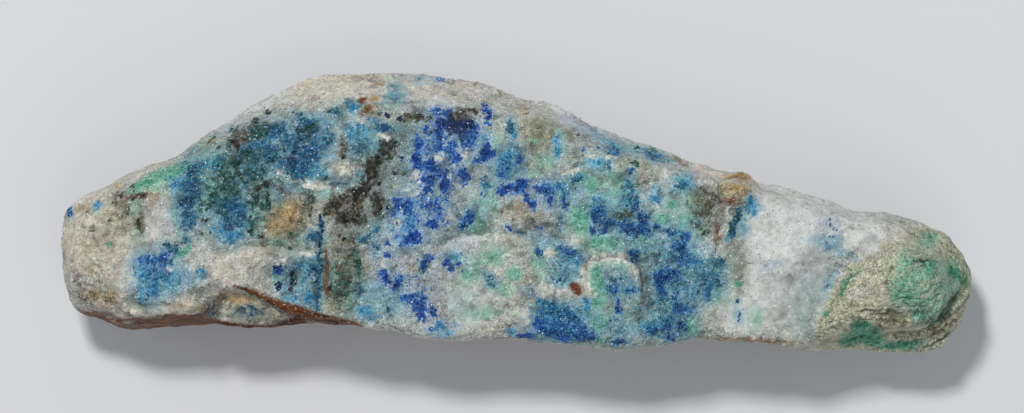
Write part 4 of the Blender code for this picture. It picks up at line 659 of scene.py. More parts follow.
        0.9: [(6.6, -3.1, 1, 0.6, 20), (3.5, -4.5, 0.8, 0.5), (-22.2, 3, 1.9, 0.5, -5)],
        1: [(-14.6, 8.6, 0.9, 0.35, -8)],
    }, [
        # These veins along the plateau's rim, the white ledge and the thin plate's edge are pale
        # crust and painted highlight where these edges catch the light.
        (0.9, [(7.9, -8.6, 0.3), (7.8, -5.9, 0.4), (9, -5.1, 0.45), (10.5, -4.9, 0.42),
            (12.1, -5, 0.45), (12.9, -5.7, 0.4), (13.4, -6.6, 0.3), (13.6, -7.6, 0.15)]),
        (0.5, [(-27, 4.8, 0.2), (-25.6, 4, 0.3), (-24.2, 3.4, 0.3), (-22, 2.9, 0.35)]),
        (0.5, [(-8.6, -4, 0.2), (-6.8, -2.8, 0.3), (-5, -2.9, 0.35), (-3, -2.8, 0.3),
            (-1, -2.4, 0.2)]),
    ], edge=1.7),
}

# The bloom of colour round the blue minerals: mineral, cover, widening of its patches, tones.
HALOS = {
    "azurite_halo": ("azurite", 0.5, 1.7, ((88, 134, 172), (140, 176, 198))),
    "deep_halo": ("deep_blue", 0.6, 2, ((76, 130, 152), (120, 168, 178))),
    "teal_halo": ("teal_blue", 0.6, 1.8, ((72, 126, 138), (118, 162, 166))),
}

# Iron rust on the stone's lower wall, between two places along it and with a ragged edge below its
# top, and rust that hides the grains: on the wall's rim, in spots, and under the overhang, where
# its dark band is rust and painted shadow.
RUSTY_WALL = (-50.5, -16.0)
WALL_TOP = 14.5
OVERHANG_RUST_AND_SHADE = mineral(RUST_AND_SHADE, {
    0.5: [(-19.5, 7.2, 0.3, 0.6)],
    0.8: [(-17.3, 12.5, 0.4, 0.3, 20), (-16.8, 11.4, 0.9, 0.3, 40)],
}, [
    # under the overhang: rust and painted shadow
    (1, [(-31.6, -8.2, 0.12), (-30, -8.7, 0.25), (-28.8, -9.2, 0.35), (-27.6, -9.8, 0.4),
        (-26.2, -10.4, 0.55), (-25, -10.9, 0.7), (-23.6, -11.3, 0.6), (-22, -11.7, 0.5),
        (-20, -12.1, 0.4), (-18, -12.5, 0.25)]),
    (1, [(6.25, -8.1, 0.4), (6.7, -8.5, 0.5), (6.95, -9, 0.3)]),
    (0.65, [(-21.3, -4.4, 0.2), (-21.2, -6, 0.3), (-21.4, -8.2, 0.3), (-21, -9.4, 0.2)]),
    (1, [(-36, -12.1, 0.5), (-34.5, -12.1, 0.35), (-33, -12.3, 0.25), (-31, -12.6, 0.25),
        (-29.5, -12.8, 0.3), (-27, -12.8, 0.25), (-25.5, -12.4, 0.5), (-24, -12.1, 0.6)]),
])

# The sandy nodule that the quartz has grown round, at the wide end: its outline, which runs on past
# the stone's end, and the grains on it.
NODULE_OUTLINE = [(45, -1.4), (42.6, -3.4), (40.2, -4.8), (37.2, -6), (35.8, -8), (34.6, -10),
    (33.6, -12), (33.4, -16.4), (60, -16.4), (60, 4), (46.5, 0.6)]
NODULE_SOFT = 0.35
NODULE_GRAINS = {
    "nodule_mint": mineral(((92, 148, 122), (126, 172, 146), (160, 194, 168)), {
        0.25: [(35.4, -12.6, 1.2)],
        0.35: [(44.6, -3.4, 1, 0.9)],
        0.45: [(46.6, -8, 4, 3.6)],
        0.5: [(45.8, -3.8, 1.2, 0.6), (36.4, -9, 0.5, 1.4), (44, -14.8, 3, 0.7),
            (50.2, -6.8, 0.8, 1.2)],
        0.55: [(46.6, -11.6, 2.6, 0.8, 22)],
        0.6: [(43.4, -5, 1.4, 0.8), (43.2, -9, 1.9, 1.7)],
        0.75: [(44.4, -7.2, 2.6), (46, -10.4, 3, 1.1)],
        0.8: [(46.2, -2.8, 1.4, 0.9), (48.2, -5.9, 1.4, 0.8), (48.6, -8.2, 1.8, 1.1, 20)],
    }, edge=1.3),
    "nodule_green": mineral(((24, 100, 80), (62, 140, 112), (118, 176, 148)), {
        0.2: [(44.6, -8, 2.4)],
        0.4: [(44, -5.4, 0.8, 0.5), (48.8, -9.4, 1.4, 0.4, 30)],
        0.5: [(47.8, -14, 1.2, 0.35, 40), (46.2, -2.5, 1, 0.5), (46.9, -6.8, 1, 0.6)],
        0.6: [(42.9, -8.9, 1.3), (46.6, -12.2, 1.4, 0.4, 20)],
        0.7: [(47.2, -11.6, 1.4, 0.35, 32), (43.6, -14.7, 2.2, 0.45, 4), (36.6, -14.6, 0.8, 0.4)],
        0.8: [(48.6, -6.7, 0.8, 0.5, -40), (40, -14.6, 1.4, 0.5), (50, -7.6, 0.8, 0.4),
            (45, -11.1, 1, 0.4, 15), (34.7, -11.2, 0.7, 0.3, 25)],
        0.85: [(45, -11.7, 1.1, 0.45, 10)],
        0.9: [(42.4, -14.9, 2, 0.5), (45.9, -5.7, 1.3, 0.6)],
        0.95: [(38.6, -12.7, 1.3, 0.9), (39.8, -13.6, 1.6, 0.8), (37.4, -14, 1.2, 0.8),
            (49, -6.6, 1, 0.5, -40)],
    }, [
        (0.9, [(38.2, -6.4, 0.2), (37.2, -7.3, 0.35), (36.4, -8.3, 0.35), (36.2, -9.4, 0.2)]),
    ], edge=1.4),
    "nodule_pale": mineral(((158, 156, 146), (186, 184, 176), (206, 205, 200)), {
        0.35: [(40.2, -6.4, 2, 1.4, 20)],
        0.4: [(40.8, -4.9, 1, 0.5, 20), (47.6, -9.4, 1, 0.4, 20), (43, -10.8, 1.2, 0.5)],
        0.5: [(43, -3.1, 1.5, 0.9), (37.4, -9.4, 0.8, 0.6)],
        0.7: [(44.8, -5.7, 0.3)],
        0.8: [(38.5, -9, 1)],
    }, edge=1.2),
    # Dark cracks of the nodule, and painted shade under its terraces and on its lower side.
    "nodule_shade": mineral(((62, 58, 42), (96, 88, 66), (132, 124, 98)), {
        0.12: [(36.2, -12.4, 1.6)],
        0.3: [(48, -12.6, 2.4, 0.8, 35)],
        0.6: [(42.2, -12.2, 1.6, 0.5, -10), (41.3, -9, 0.4, 0.25)],
        0.7: [(41.2, -7.8, 0.4, 0.3), (45.4, -5.4, 0.3, 0.25)],
    }, [
        (0.65, [(38, -10.9, 0.12), (39.5, -11.2, 0.15), (40.4, -11.9, 0.15), (42, -12.1, 0.15),
            (43.6, -12.4, 0.12)]),
        (0.65, [(40.4, -12.5, 0.12), (41.4, -13.3, 0.2), (42.8, -13.9, 0.22), (44.6, -13.6, 0.22),
            (46.5, -12.9, 0.24), (48.4, -11.8, 0.2), (50, -10, 0.14)]),
        (0.7, [(44.6, -12.6, 0.1), (46.2, -12.2, 0.14), (47.8, -11.3, 0.16), (49.6, -9.4, 0.12)]),
        (0.7, [(42.6, -14.6, 0.1), (45, -14.2, 0.15), (47.4, -13.2, 0.15), (49.2, -11.7, 0.1)]),
        (0.6, [(47.6, -10.6, 0.1), (49, -9.6, 0.14), (50.4, -8.2, 0.12)]),
        (0.9, [(44.6, -5.5, 0.08), (45.6, -5.3, 0.12), (46.9, -5.1, 0.08)]),
        (0.7, [(42.2, -6, 0.08), (41.4, -7.2, 0.1), (41.6, -8.6, 0.1)]),
        (0.6, [(45.4, -15.2, 0.1), (47.4, -14.4, 0.14), (49, -13, 0.1)]),
    ], edge=1.5),
}

# The cracks in its relief run where its shade has veins.
NODULE_CRACKS = mineral((), {}, NODULE_GRAINS["nodule_shade"]["veins"])

# How a set of layers is laid out: softness of the patches' edges, how far the cover swings, the
# size of the swings in millimetres, and the number of the first layer's cloud.
TINT_LAYOUT = (0.55, 0.6, 0.8, 40)
GRAIN_LAYOUT = (0.5, 0.6, 0.6, 60)
HALO_LAYOUT = (0.7, 0.7, 1.0, 70)
NODULE_LAYOUT = (0.5, 0.5, 0.6, 80)
CALM_SOFTNESS = 0.5
CRACK_SOFTNESS = 0.7
RUST_SOFTNESS = 0.35
RUST_WANDERING = 0.3  # share of the minerals' wandering that the rust has

STREAK_STRETCH = np.array((0.5, 1.0, 1.3))  # draws the clouds of the back and walls out lengthwise
BACK_STREAKS = ((0.75, 3.6, 90), (0.5, 0.9, 91))  # reach, size, number
BACK_STAIN_LEVEL = 0.5
BACK_STAIN_ENDS = (3.0, -9.0)  # across the stone, from none of it to all of it
BACK_BLUE, BACK_BLUE_SIZE, BACK_BLUE_PATCHES = 0.4, 2.4, (0.1, 0.6)
WALL_START = (-10.4, -11.2)  # across the stone, too
WALL_FADE = 2.0
WALL_STREAKS = (0.45, 1.6, 93)
WALL_RAGGED = (3.2, 1.8, 94)

# What the stone's colours are broken up with: noises as (size in millimetres, detail), and spreads
# as what a random value is multiplied by and what is then added to it.
FINE_GRAIN, COARSE_GRAIN = 0.21, 0.4
NOISES = {
    "waver": (0.38, 2.0), "mottle": (1.1, 4.0), "speckle": (0.5, 3.0), "slow": (1.3, 2.0),
    "drift": (0.7, 4.0), "tinge": (1.7, 3.0), "rust": (0.7, 3.0), "dust": (0.16, 1.0),
    "pepper": (0.3, 1.0),
}
NOISE_ROUGHNESS = 0.6
SPREADS = {
    "patchy": (2.4, -0.7), "drift": (1.3, 0.35), "chance": (1.6, -0.6), "variety": (1.3, -1.25),
    "thinning": (0.35, -0.3), "sandy": (0.7, -0.07), "sand_chance": (0.9, -0.2),
    "rust": (3.2, -1.1), "dust": (1.95, 0.035), "grit": (0.3, 0.86), "pepper": (8.0, -4.9),
    "peppered": (-0.52, 1.0), "hollow_shade": (-0.5, 1.0), "painted_glint": (30.0, -28.8),
    "glint_spot": (-8.0, 3.4), "dull": (-0.3, 0.62), "upper_half": (2.0, -1.0), "lower_half": (2.0, 0.0),
    "tinge": ((0.3,) * 3, (0.85,) * 3),
}
WAVER_REACH = 0.24
SPECKLE_SHIFT = 0.07
CALM_SHARES = {"clean_quartz": 0.75, "cream": 0.45, "green_wash": 0.35, "lavender": 0.4}
RUST_STRETCH = (0.35, 1.0, 1.6)
GRAIN_THRESHOLD, GRAIN_EDGE, GRAIN_ONSET = -0.75, 0.12, 8.0
GRAIN_CHANCE, SLOW_VARIETY, FINE_VARIETY = 0.55, 1.9, 0.35
SAND_CHANCE, SAND_FINE_VARIETY, SAND_SLOW_VARIETY, SAND_FINE_TONE = 0.4, 0.5, 0.6, 0.45
MIDDLE = (0.5, 0.5, 0.5)  # of a random colour
FACET_TILT = 0.5
SHINY_GRAINS = 0.93  # the grains above this are shiny
BUMP_STRENGTH, BUMP_DEPTH = 0.5, 0.08
STONE_SHINE = {"Specular IOR Level": 0.22, "Subsurface Weight": 0.15,
               "Subsurface Radius": (1.0, 0.9, 0.8), "Subsurface Scale": 0.5 * MM}

# ---------------------------------------------------------------- crystals standing on the face

CRYSTALS = {  # how many, smallest and largest half size, tones, roughness
    "azurite": (3500, 0.05, 0.11, GRAINS["azurite"]["tones"], 0.28),
    "deep_blue": (3500, 0.05, 0.11, GRAINS["deep_blue"]["tones"], 0.28),
    "teal_blue": (3500, 0.05, 0.11, GRAINS["teal_blue"]["tones"], 0.3),
    "turquoise": (2500, 0.05, 0.11, GRAINS["turquoise"]["tones"], 0.3),
    "malachite": (1500, 0.05, 0.10, GRAINS["malachite"]["tones"], 0.4),
    "quartz": (4000, 0.03, 0.08, ((130, 132, 124), (176, 178, 168), (216, 218, 212)), 0.25),
}
CRUSTS = ("azurite", "deep_blue", "teal_blue", "turquoise", "navy", "malachite", "green_wash")
CRUST_THINNEST = 0.2  # cover below which a mineral has no crystals
BARE_CHANCE = 0.01
CRYSTAL_SLOPE = 0.15
CRYSTAL_SHAFT, CRYSTAL_TIP = 1.4, (0.25, 0.1, 0.6)
CRYSTAL_WIDTHS, CRYSTAL_LENGTHS = (0.6, 1.0), (0.8, 1.5)
CRYSTAL_HEIGHTS = (-0.5, 0.15)  # of its middle over the surface, in half sizes
CRYSTAL_STRAY = 0.12
CRYSTAL_DEPTHS = (0.3, 0.4, 0.4)  # depth of colour: least, more for cover, and by chance either way


# ---------------------------------------------------------------- small helpers

def linear(seen):
    """The light that a colour out of 255 stands for, by the sRGB curve."""
    share = np.array(seen) / 255.0
    low = share / 12.92
    high = ((share + 0.055) / 1.055) ** 2.4
    return (*np.where(share <= 0.04045, low, high), 1.0)


def smooth(values, low, high):
    """0 below low, 1 above high, and an S-curve between."""
    share = np.clip((values - low) / (high - low), 0.0, 1.0)
    return share * share * (3.0 - 2.0 * share)


def cloud(points, size, number, octaves=3):
    """Soft random values about 0, one for each point, that change over size millimetres."""
    shift = Vector([number * step for step in CLOUD_STEP])
    return np.array([noise.fractal(Vector(p) + shift, 1.0, 2.0, octaves) for p in points / size])


def led_astray(points, plan, wanderings):
    """The plan's points moved about, so that what is laid out on them gets ragged edges."""
    moved = plan.copy()
    for axis in (0, 1):
        moved[:, axis] += sum(reach * cloud(points, size, numbers[axis], octaves)
                              for reach, size, numbers, octaves in wanderings)
    return moved


def patch_distance(points, x, y, half_length, half_width=None, turn=0.0):
    """How far each point is from a patch's middle, where 1 is the patch's edge."""
    along = math.cos(math.radians(turn)), math.sin(math.radians(turn))
    off_x, off_y = points[:, 0] - x, points[:, 1] - y
    length = off_x * along[0] + off_y * along[1]
    width = off_y * along[0] - off_x * along[1]
    return np.hypot(length / half_length, width / (half_width or half_length))


def segments(points, path):
    """For each stretch of a path: its run, and each point's offset, share along it and distance."""
    for start, end in zip(path[:-1], path[1:]):
        run = np.array(end, float) - start
        offset = points[:, :2] - start
        share = np.clip(offset @ run / (run @ run), 0.0, 1.0)
        gap = offset - share[:, None] * run
        yield run, offset, share, np.hypot(gap[:, 0], gap[:, 1])


def vein_distance(points, vein):
    """How far each point is from a vein's middle line, where 1 is the vein's edge."""
    nearest = np.full(len(points), np.inf)
    halves = [half for _, _, half in vein]
    stretches = segments(points, [(x, y) for x, y, _ in vein])
    for (_, _, share, distance), half, next_half in zip(stretches, halves, halves[1:]):
        nearest = np.minimum(nearest, distance / (half + share * (next_half - half)))
    return nearest


def laid_out(points):
    """The points on the plan that minerals are laid out on, which spreads a little with height."""
    plan = points.copy()
    plan[:, :2] *= 1.0 + (points[:, 2:] - GIRTH_HEIGHT / MM) / (CAMERA_HEIGHT / MM)
    return plan


def covered_places(points, covering):
    """The cover of each of a mineral's patches and veins, and how far each point is from it."""
    for cover, patches in covering["patches"].items():
        for patch in patches:
            yield cover, patch_distance(points, *patch)
    for cover, vein in covering["veins"]:
        yield cover, vein_distance(points, vein)


def mineral_cover(points, covering, softness, widening=1.0):
    """The share that a mineral's patches and veins take at each point, 0 to 1."""
    bare = np.ones(len(points))
    for cover, distance in covered_places(points, covering):
        bare *= 1.0 - cover * smooth(distance / widening, 1.0 + softness, 1.0 - softness)
    return 1.0 - bare


def step_height(points, path, height):
    """A sharp break along a path, high on its left, that fades into the ground on both sides."""
    nearest = np.full(len(points), np.inf)
    side = np.zeros(len(points))
    for run, offset, _, distance in segments(points, path):
        left = np.sign(run[0] * offset[:, 1] - run[1] * offset[:, 0])
        closer = distance < nearest
        nearest[closer] = distance[closer]
        side[closer] = (left * distance)[closer]
    rise = smooth(side, -STEP_SOFT, STEP_SOFT) - 0.5
    return height * rise * (1.0 - smooth(nearest, *STEP_FADE))


def nodule_share(points):
    """1 on the sandy nodule and 0 off it."""
    inside = np.zeros(len(points), bool)
    nearest = np.full(len(points), np.inf)
    for run, offset, _, distance in segments(points, NODULE_OUTLINE + NODULE_OUTLINE[:1]):
        if run[1]:
            crosses = (offset[:, 1] < 0) != (offset[:, 1] < run[1])
            inside ^= crosses & (offset[:, 0] < offset[:, 1] * run[0] / run[1])
        nearest = np.minimum(nearest, distance)
    return smooth(np.where(inside, nearest, -nearest), -NODULE_SOFT, NODULE_SOFT)


# ---------------------------------------------------------------- the stone's surface

def deselect_all():
    for obj in bpy.context.selected_objects:
        obj.select_set(False)


def surface_copy(node):
    """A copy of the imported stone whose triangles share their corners."""
    stone = bpy.data.objects.new("azurite_malachite_surface", node.data.copy())
    bpy.context.scene.collection.objects.link(stone)
    stone.data.materials.clear()
    deselect_all()
    stone.select_set(True)
    bpy.context.view_layer.objects.active = stone
    bpy.ops.object.mode_set(mode="EDIT")
    bpy.ops.mesh.select_all(action="SELECT")
    bpy.ops.mesh.remove_doubles(threshold=0.01 * MM)
    bpy.ops.object.mode_set(mode="OBJECT")
    return stone


def even_surface(stone):
    """Spreads the points evenly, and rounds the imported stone's flat triangles."""
    remesh = stone.modifiers.new("Even", "REMESH")
    remesh.mode = "VOXEL"
    remesh.voxel_size = SURFACE_VOXEL * MM
    relax = stone.modifiers.new("Relax", "SMOOTH")
    relax.factor = 0.5
    relax.iterations = FORM_SMOOTHING
    for modifier in (remesh, relax):
        bpy.ops.object.modifier_apply(modifier=modifier.name)


def refine_face(stone):
    """Halves the spacing of the points on the mineral face."""
    mesh = stone.data
    facing = np.empty(len(mesh.polygons) * 3)
    mesh.polygons.foreach_get("normal", facing)
    middle = np.empty(len(mesh.polygons) * 3)
    mesh.polygons.foreach_get("center", middle)
    chosen = (facing[2::3] > FACE_UP) & (middle[2::3] > FACE_LOWEST * MM)
    mesh.vertices.foreach_set("select", np.zeros(len(mesh.vertices), bool))
    mesh.edges.foreach_set("select", np.zeros(len(mesh.edges), bool))
    mesh.polygons.foreach_set("select", chosen)
    bpy.ops.object.mode_set(mode="EDIT")
    bpy.ops.mesh.select_mode(type="FACE")
    bpy.ops.mesh.subdivide(number_cuts=1, smoothness=0.0)
    bpy.ops.object.mode_set(mode="OBJECT")


def points_of(mesh):
    """The mesh's points and their normals, in millimetres."""
    points = np.empty(len(mesh.vertices) * 3)
    mesh.vertices.foreach_get("co", points)
    normals = np.empty(len(mesh.vertices) * 3)
    mesh.vertex_normals.foreach_get("vector", normals)
    return points.reshape(-1, 3) / MM, normals.reshape(-1, 3)


def broken_relief(points, size, tilt, number):
    """Heights of a surface broken into flat facets, each leaning its own way by up to tilt."""
    shift = Vector([number * step for step in FACET_STEP])
    heights = np.empty(len(points))
    for index, point in enumerate(points / size):
        place = Vector(point) + shift
        middle = noise.voronoi(place)[1][0]
        lean = noise.cell_vector(middle * LEAN_SPREAD) - Vector((0.5, 0.5, 0.5))
        rise = 2.0 * tilt * size * (place - middle).dot(lean)
        heights[index] = rise + FACET_RISE * tilt * size * lean.x
    return heights


def wrinkles(points, sizes):
    return np.array([abs(noise.noise(Vector(p))) for p in points / np.array(sizes)])


def sand_relief(points):
    """Wrinkled ribs of the sandy nodule, 0 in the gaps to 1.

    They follow its beds, which run level and curl up round its lower corner."""
    curl = BED_CURL * np.maximum(points[:, 0] - BED_CURL_START, 0.0) ** 2
    bedded = points.copy()
    bedded[:, 1] -= curl * smooth(points[:, 1], *BED_CURL_ROWS)
    return sum(share * smooth(wrinkles(bedded, sizes), 0.0, full) for sizes, full, share in RIBS)


def keep_attribute(mesh, name, values):
    attribute = mesh.attributes.new(name, "FLOAT", "POINT")
    attribute.data.foreach_set("value", np.clip(values, 0.0, 1.0).astype(np.float32))


def roughen(stone):
    """Breaks, lumps, pits, facets and the nodule's ribs and cracks, and the painted shade kept for
    their hollows.
    """
    points, normals = points_of(stone.data)
    up = smooth(normals[:, 2], *RELIEF_SLOPES) * (points[:, 2] > FACE_LOWEST)
    plan = laid_out(points)
    sand = nodule_share(plan) * up
    wandering = led_astray(points, plan, RELIEF_WANDERING)
    height = np.zeros(len(points))
    for step, path in STEPS.values():
        height += DEEPENING * step_height(wandering, path, step) * up
    for *place, rise in LUMPS_AND_PITS:
        height += DEEPENING * rise * smooth(patch_distance(wandering, *place), *LUMP_EDGE) * up
    height += SWELL_HEIGHT * cloud(points, SWELL_SIZE, number=3, octaves=2)
    calm = mineral_cover(plan, TINTS["clean_quartz"], CALM_SOFTNESS)
    calm += CREAM_AS_QUARTZ * mineral_cover(plan, TINTS["cream"], CALM_SOFTNESS)
    calm = np.minimum(calm, 1.0) * up
    broken = sum(broken_relief(wandering, *facets) for facets in FACETS)
    broken *= FACETS_ON_BACK + (1.0 - FACETS_ON_BACK) * up
    height += broken * (1.0 - FACETS_LOST_IN_SAND * sand) * (1.0 - FACETS_LOST_IN_QUARTZ * calm)
    ribs = sand_relief(points)
    cracks = mineral_cover(plan, NODULE_CRACKS, CRACK_SOFTNESS)
    height += (RIB_HEIGHT * (ribs - RIB_LEVEL) - CRACK_DEPTH * cracks) * sand
    # Painted shade: the hollows and the gaps between the nodule's ribs are kept to be darkened in
    # the colour.
    rib_gap_shade = GAP_SHADE * (GAP_LEVEL - ribs) * sand
    hollow_shade = np.maximum(smooth(-height, *HOLLOW_SHADE_DEPTHS), rib_gap_shade)
    keep_attribute(stone.data, "hollow_shade", hollow_shade)
    moved = points + normals * height[:, None]
    stone.data.vertices.foreach_set("co", (moved * MM).ravel())
    stone.data.update()


def back_layers(points, normals, sand):
    """The streaky brown stain and the blue blooms on the back and the walls."""
    weathered = smooth(normals[:, 2], *BACK_SLOPES) * (1.0 - sand)
    drawn_out = points * STREAK_STRETCH
    streaks = BACK_STAIN_LEVEL + sum(reach * cloud(drawn_out, size, number)
                                     for reach, size, number in BACK_STREAKS)
    blue = smooth(cloud(points, BACK_BLUE_SIZE, number=92), *BACK_BLUE_PATCHES)
    return {"back_stain": weathered * streaks * smooth(points[:, 1], *BACK_STAIN_ENDS),
            "back_blue": weathered * blue * BACK_BLUE}


def wall_rust_and_shade(points, normals, wandering, plan):
    """Iron rust on the lower wall and in the spots where it hides the grains, and painted shadow
    under the overhang in the rust's tones.
    """
    drawn_out = points * STREAK_STRETCH
    reach, size, number = WALL_STREAKS
    rusty = smooth(normals[:, 2], *WALL_SLOPES) * smooth(points[:, 1], *WALL_START)
    rusty *= 1.0 + reach * cloud(drawn_out, size, number)
    reach, size, number = WALL_RAGGED
    ragged = reach * cloud(drawn_out, size, number)
    along = points[:, 0] + ragged * smooth(points[:, 2], WALL_TOP, WALL_TOP - WALL_FADE)
    rusty *= smooth(along, RUSTY_WALL[0], RUSTY_WALL[0] + WALL_FADE)
    rusty *= smooth(along, RUSTY_WALL[1], RUSTY_WALL[1] - WALL_FADE)
    followed = RUST_WANDERING * wandering + (1.0 - RUST_WANDERING) * plan
    rust_spots_and_shade = mineral_cover(followed, OVERHANG_RUST_AND_SHADE, RUST_SOFTNESS) * (points[:, 2] > FACE_LOWEST)
    return np.maximum(rusty, rust_spots_and_shade)


def mineral_layers(stone):
    """Writes how much of each mineral each point has, and returns it by mineral."""
    points, normals = points_of(stone.data)
    on_face = smooth(normals[:, 2], *MINERAL_SLOPES) * (points[:, 2] > FACE_LOWEST)
    plan = laid_out(points)
    sand = nodule_share(led_astray(points, plan, NODULE_WANDERING))
    quartz = on_face * (1.0 - sand)
    wandering = led_astray(points, plan, MINERAL_WANDERING)
    layers = {}
    for minerals, ground, (softness, swing, size, first) in (
            (TINTS, quartz, TINT_LAYOUT), (GRAINS, quartz, GRAIN_LAYOUT),
            (NODULE_GRAINS, sand, NODULE_LAYOUT)):
        for number, (name, covering) in enumerate(minerals.items(), first):
            layers[name] = mineral_cover(wandering, covering, softness) * ground
            layers[name] *= 1.0 + swing * cloud(points, size, number)
    softness, swing, size, first = HALO_LAYOUT
    for number, (name, (inner, cover, widening, _)) in enumerate(HALOS.items(), first):
        reach = mineral_cover(wandering, GRAINS[inner], softness, widening)
        layers[name] = cover * reach * (1.0 + swing * cloud(points, size, number)) * quartz
    layers["nodule_sand"] = sand * smooth(normals[:, 2], *NODULE_SLOPES)
    layers.update(back_layers(points, normals, sand))
    layers["wall_rust_and_shade"] = wall_rust_and_shade(points, normals, wandering, plan)
    for name, values in layers.items():
        keep_attribute(stone.data, name, values)
    return layers


# ---------------------------------------------------------------- material nodes

def add_node(tree, kind, sockets=None, **settings):
    """A node with its settings made and its sockets given a value or joined to another's socket."""
    made = tree.nodes.new(kind)
    for name, value in settings.items():
        setattr(made, name, value)
    for name, value in (sockets or {}).items():
        if isinstance(value, bpy.types.NodeSocket):
            tree.links.new(value, made.inputs[name])
        else:
            made.inputs[name].default_value = value
    return made


def new_material(name):
    material = bpy.data.materials.new(name)
    material.use_nodes = True
    tree = material.node_tree
    tree.nodes.clear()
    shader = add_node(tree, "ShaderNodeBsdfPrincipled")
    output = add_node(tree, "ShaderNodeOutputMaterial")
    tree.links.new(shader.outputs["BSDF"], output.inputs["Surface"])
    return material, tree, shader


def multiply_add(tree, value, factor, added=0.0, clamp=False):
    return add_node(tree, "ShaderNodeMath", {0: value, 1: factor, 2: added},
                    operation="MULTIPLY_ADD", use_clamp=clamp).outputs[0]


def spread(tree, value, name, clamp=False):
    """The value multiplied and added to as SPREADS says."""
    return multiply_add(tree, value, *SPREADS[name], clamp=clamp)


def vector_math(tree, operation, first, second=(0.0, 0.0, 0.0), third=(0.0, 0.0, 0.0)):
    others = {"Scale": second} if operation == "SCALE" else {1: second, 2: third}
    return add_node(tree, "ShaderNodeVectorMath", {0: first, **others},
                    operation=operation).outputs[0]


def blend(tree, share, first, second):
    return add_node(tree, "ShaderNodeMix", {0: share, 6: first, 7: second},
                    data_type="RGBA").outputs[2]


def two_tones(tree, level, tones):
    """A colour from the dark tone at level 0 to the light one at 1."""
    return blend(tree, level, *(linear(tone) for tone in tones))


def three_tones(tree, level, tones):
    """A colour that goes through a mineral's tones the other way: deep at level 1, pale at 0."""
    deep, middle, pale = (linear(tone) for tone in tones)
    upper = spread(tree, level, "upper_half", clamp=True)
    lower = spread(tree, level, "lower_half", clamp=True)
    return blend(tree, upper, blend(tree, lower, pale, middle), deep)


def channels(tree, colour):
    return add_node(tree, "ShaderNodeSeparateColor", {"Color": colour}).outputs


def cells(tree, place, size):
    """Grains of that size, and three random values that are constant over each."""
    voronoi = add_node(tree, "ShaderNodeTexVoronoi", {"Vector": place, "Scale": 1.0 / (size * MM)})
    return voronoi.outputs, channels(tree, voronoi.outputs["Color"])


def soft_noise(tree, place, name, output="Fac"):
    """One of the NOISES, as its level or as its colour."""
    size, detail = NOISES[name]
    sockets = {"Vector": place, "Scale": 1.0 / (size * MM), "Detail": detail,
               "Roughness": NOISE_ROUGHNESS}
    return add_node(tree, "ShaderNodeTexNoise", sockets).outputs[output]


def cover_of(tree, name):
    return add_node(tree, "ShaderNodeAttribute", attribute_name=name).outputs["Fac"]


def calmed(tree, calm, level):
    """The level drawn towards 1 where the quartz is calm."""
    return add_node(tree, "ShaderNodeMix", {0: calm, 2: level, 3: 1.0}).outputs[0]


# ---------------------------------------------------------------- materials

def grain_layer(tree, colour, cover, chance, covering, variety):
    """Lays a mineral's grains over the colour.

    They are thick and deep where it covers most, and thin, pale and broken at its edges."""
    ahead = multiply_add(tree, chance, GRAIN_THRESHOLD, cover)
    share = multiply_add(tree, ahead, covering["edge"], GRAIN_EDGE, clamp=True)
    present = multiply_add(tree, cover, GRAIN_ONSET, clamp=True)
    thinning = spread(tree, cover, "thinning")
    level = multiply_add(tree, variety, 1.0, thinning, clamp=True)
    tone = three_tones(tree, level, covering["tones"])
    return blend(tree, multiply_add(tree, share, present), colour, tone)


def stained_quartz(tree, patchy):
    """The quartz with its tints, the halos round the blue minerals, and the back's stains."""
    stains = [(name, covering["tones"]) for name, covering in TINTS.items()]
    stains += [(name, tones) for name, (_, _, _, tones) in HALOS.items()]
    stains += [("back_stain", BACK_STAIN), ("back_blue", TINTS["blue_wash"]["tones"])]
    colour = two_tones(tree, patchy, QUARTZ)
    for name, tones in stains:
        colour = blend(tree, cover_of(tree, name), colour, two_tones(tree, patchy, tones))
    return colour


def crusted(tree, colour, fine, coarse, speckles, slow):
    """The colour with the grains of every mineral on it, each broken up in its own way."""
    for number, (name, covering) in enumerate(GRAINS.items()):
        grain = coarse if number % 2 else fine
        chance = spread(tree, speckles[number % len(speckles)], "chance")
        chance = multiply_add(tree, grain[number % 3], GRAIN_CHANCE, chance)
        variety = spread(tree, speckles[(number + 4) % len(speckles)], "variety")
        variety = multiply_add(tree, slow[number % 3], SLOW_VARIETY, variety)
        variety = multiply_add(tree, fine[(number + 1) % 3], FINE_VARIETY, variety)
        colour = grain_layer(tree, colour, cover_of(tree, name), chance, covering, variety)
    return colour


def with_nodule(tree, colour, patchy, fine, speckles, slow):
    """The colour with the nodule's sand and grains on it."""
    sandy = multiply_add(tree, fine[0], SAND_FINE_TONE, spread(tree, patchy, "sandy"))
    sand = two_tones(tree, sandy, NODULE_SAND)
    colour = blend(tree, cover_of(tree, "nodule_sand"), colour, sand)
    chance = multiply_add(tree, fine[1], SAND_CHANCE, spread(tree, speckles[0], "sand_chance"))
    variety = multiply_add(tree, slow[1], SAND_SLOW_VARIETY)
    variety = multiply_add(tree, fine[2], SAND_FINE_VARIETY, variety)
    for name, covering in NODULE_GRAINS.items():
        colour = grain_layer(tree, colour, cover_of(tree, name), chance, covering, variety)
    return colour


def grit_and_hollow_shade(tree, place, calm, fine):
    """How light the surface is left by its dust, its dark grains and the shade painted into its
    hollows.
    """
    gritty = multiply_add(tree, spread(tree, soft_noise(tree, place, "dust"), "dust"),
                          spread(tree, fine[0], "grit"))
    pepper = spread(tree, soft_noise(tree, place, "pepper"), "pepper", clamp=True)
    gritty = multiply_add(tree, gritty, spread(tree, pepper, "peppered"))
    # painted shade in the hollows
    hollow_shade = spread(tree, cover_of(tree, "hollow_shade"), "hollow_shade")
    return multiply_add(tree, calmed(tree, calm, gritty), hollow_shade)


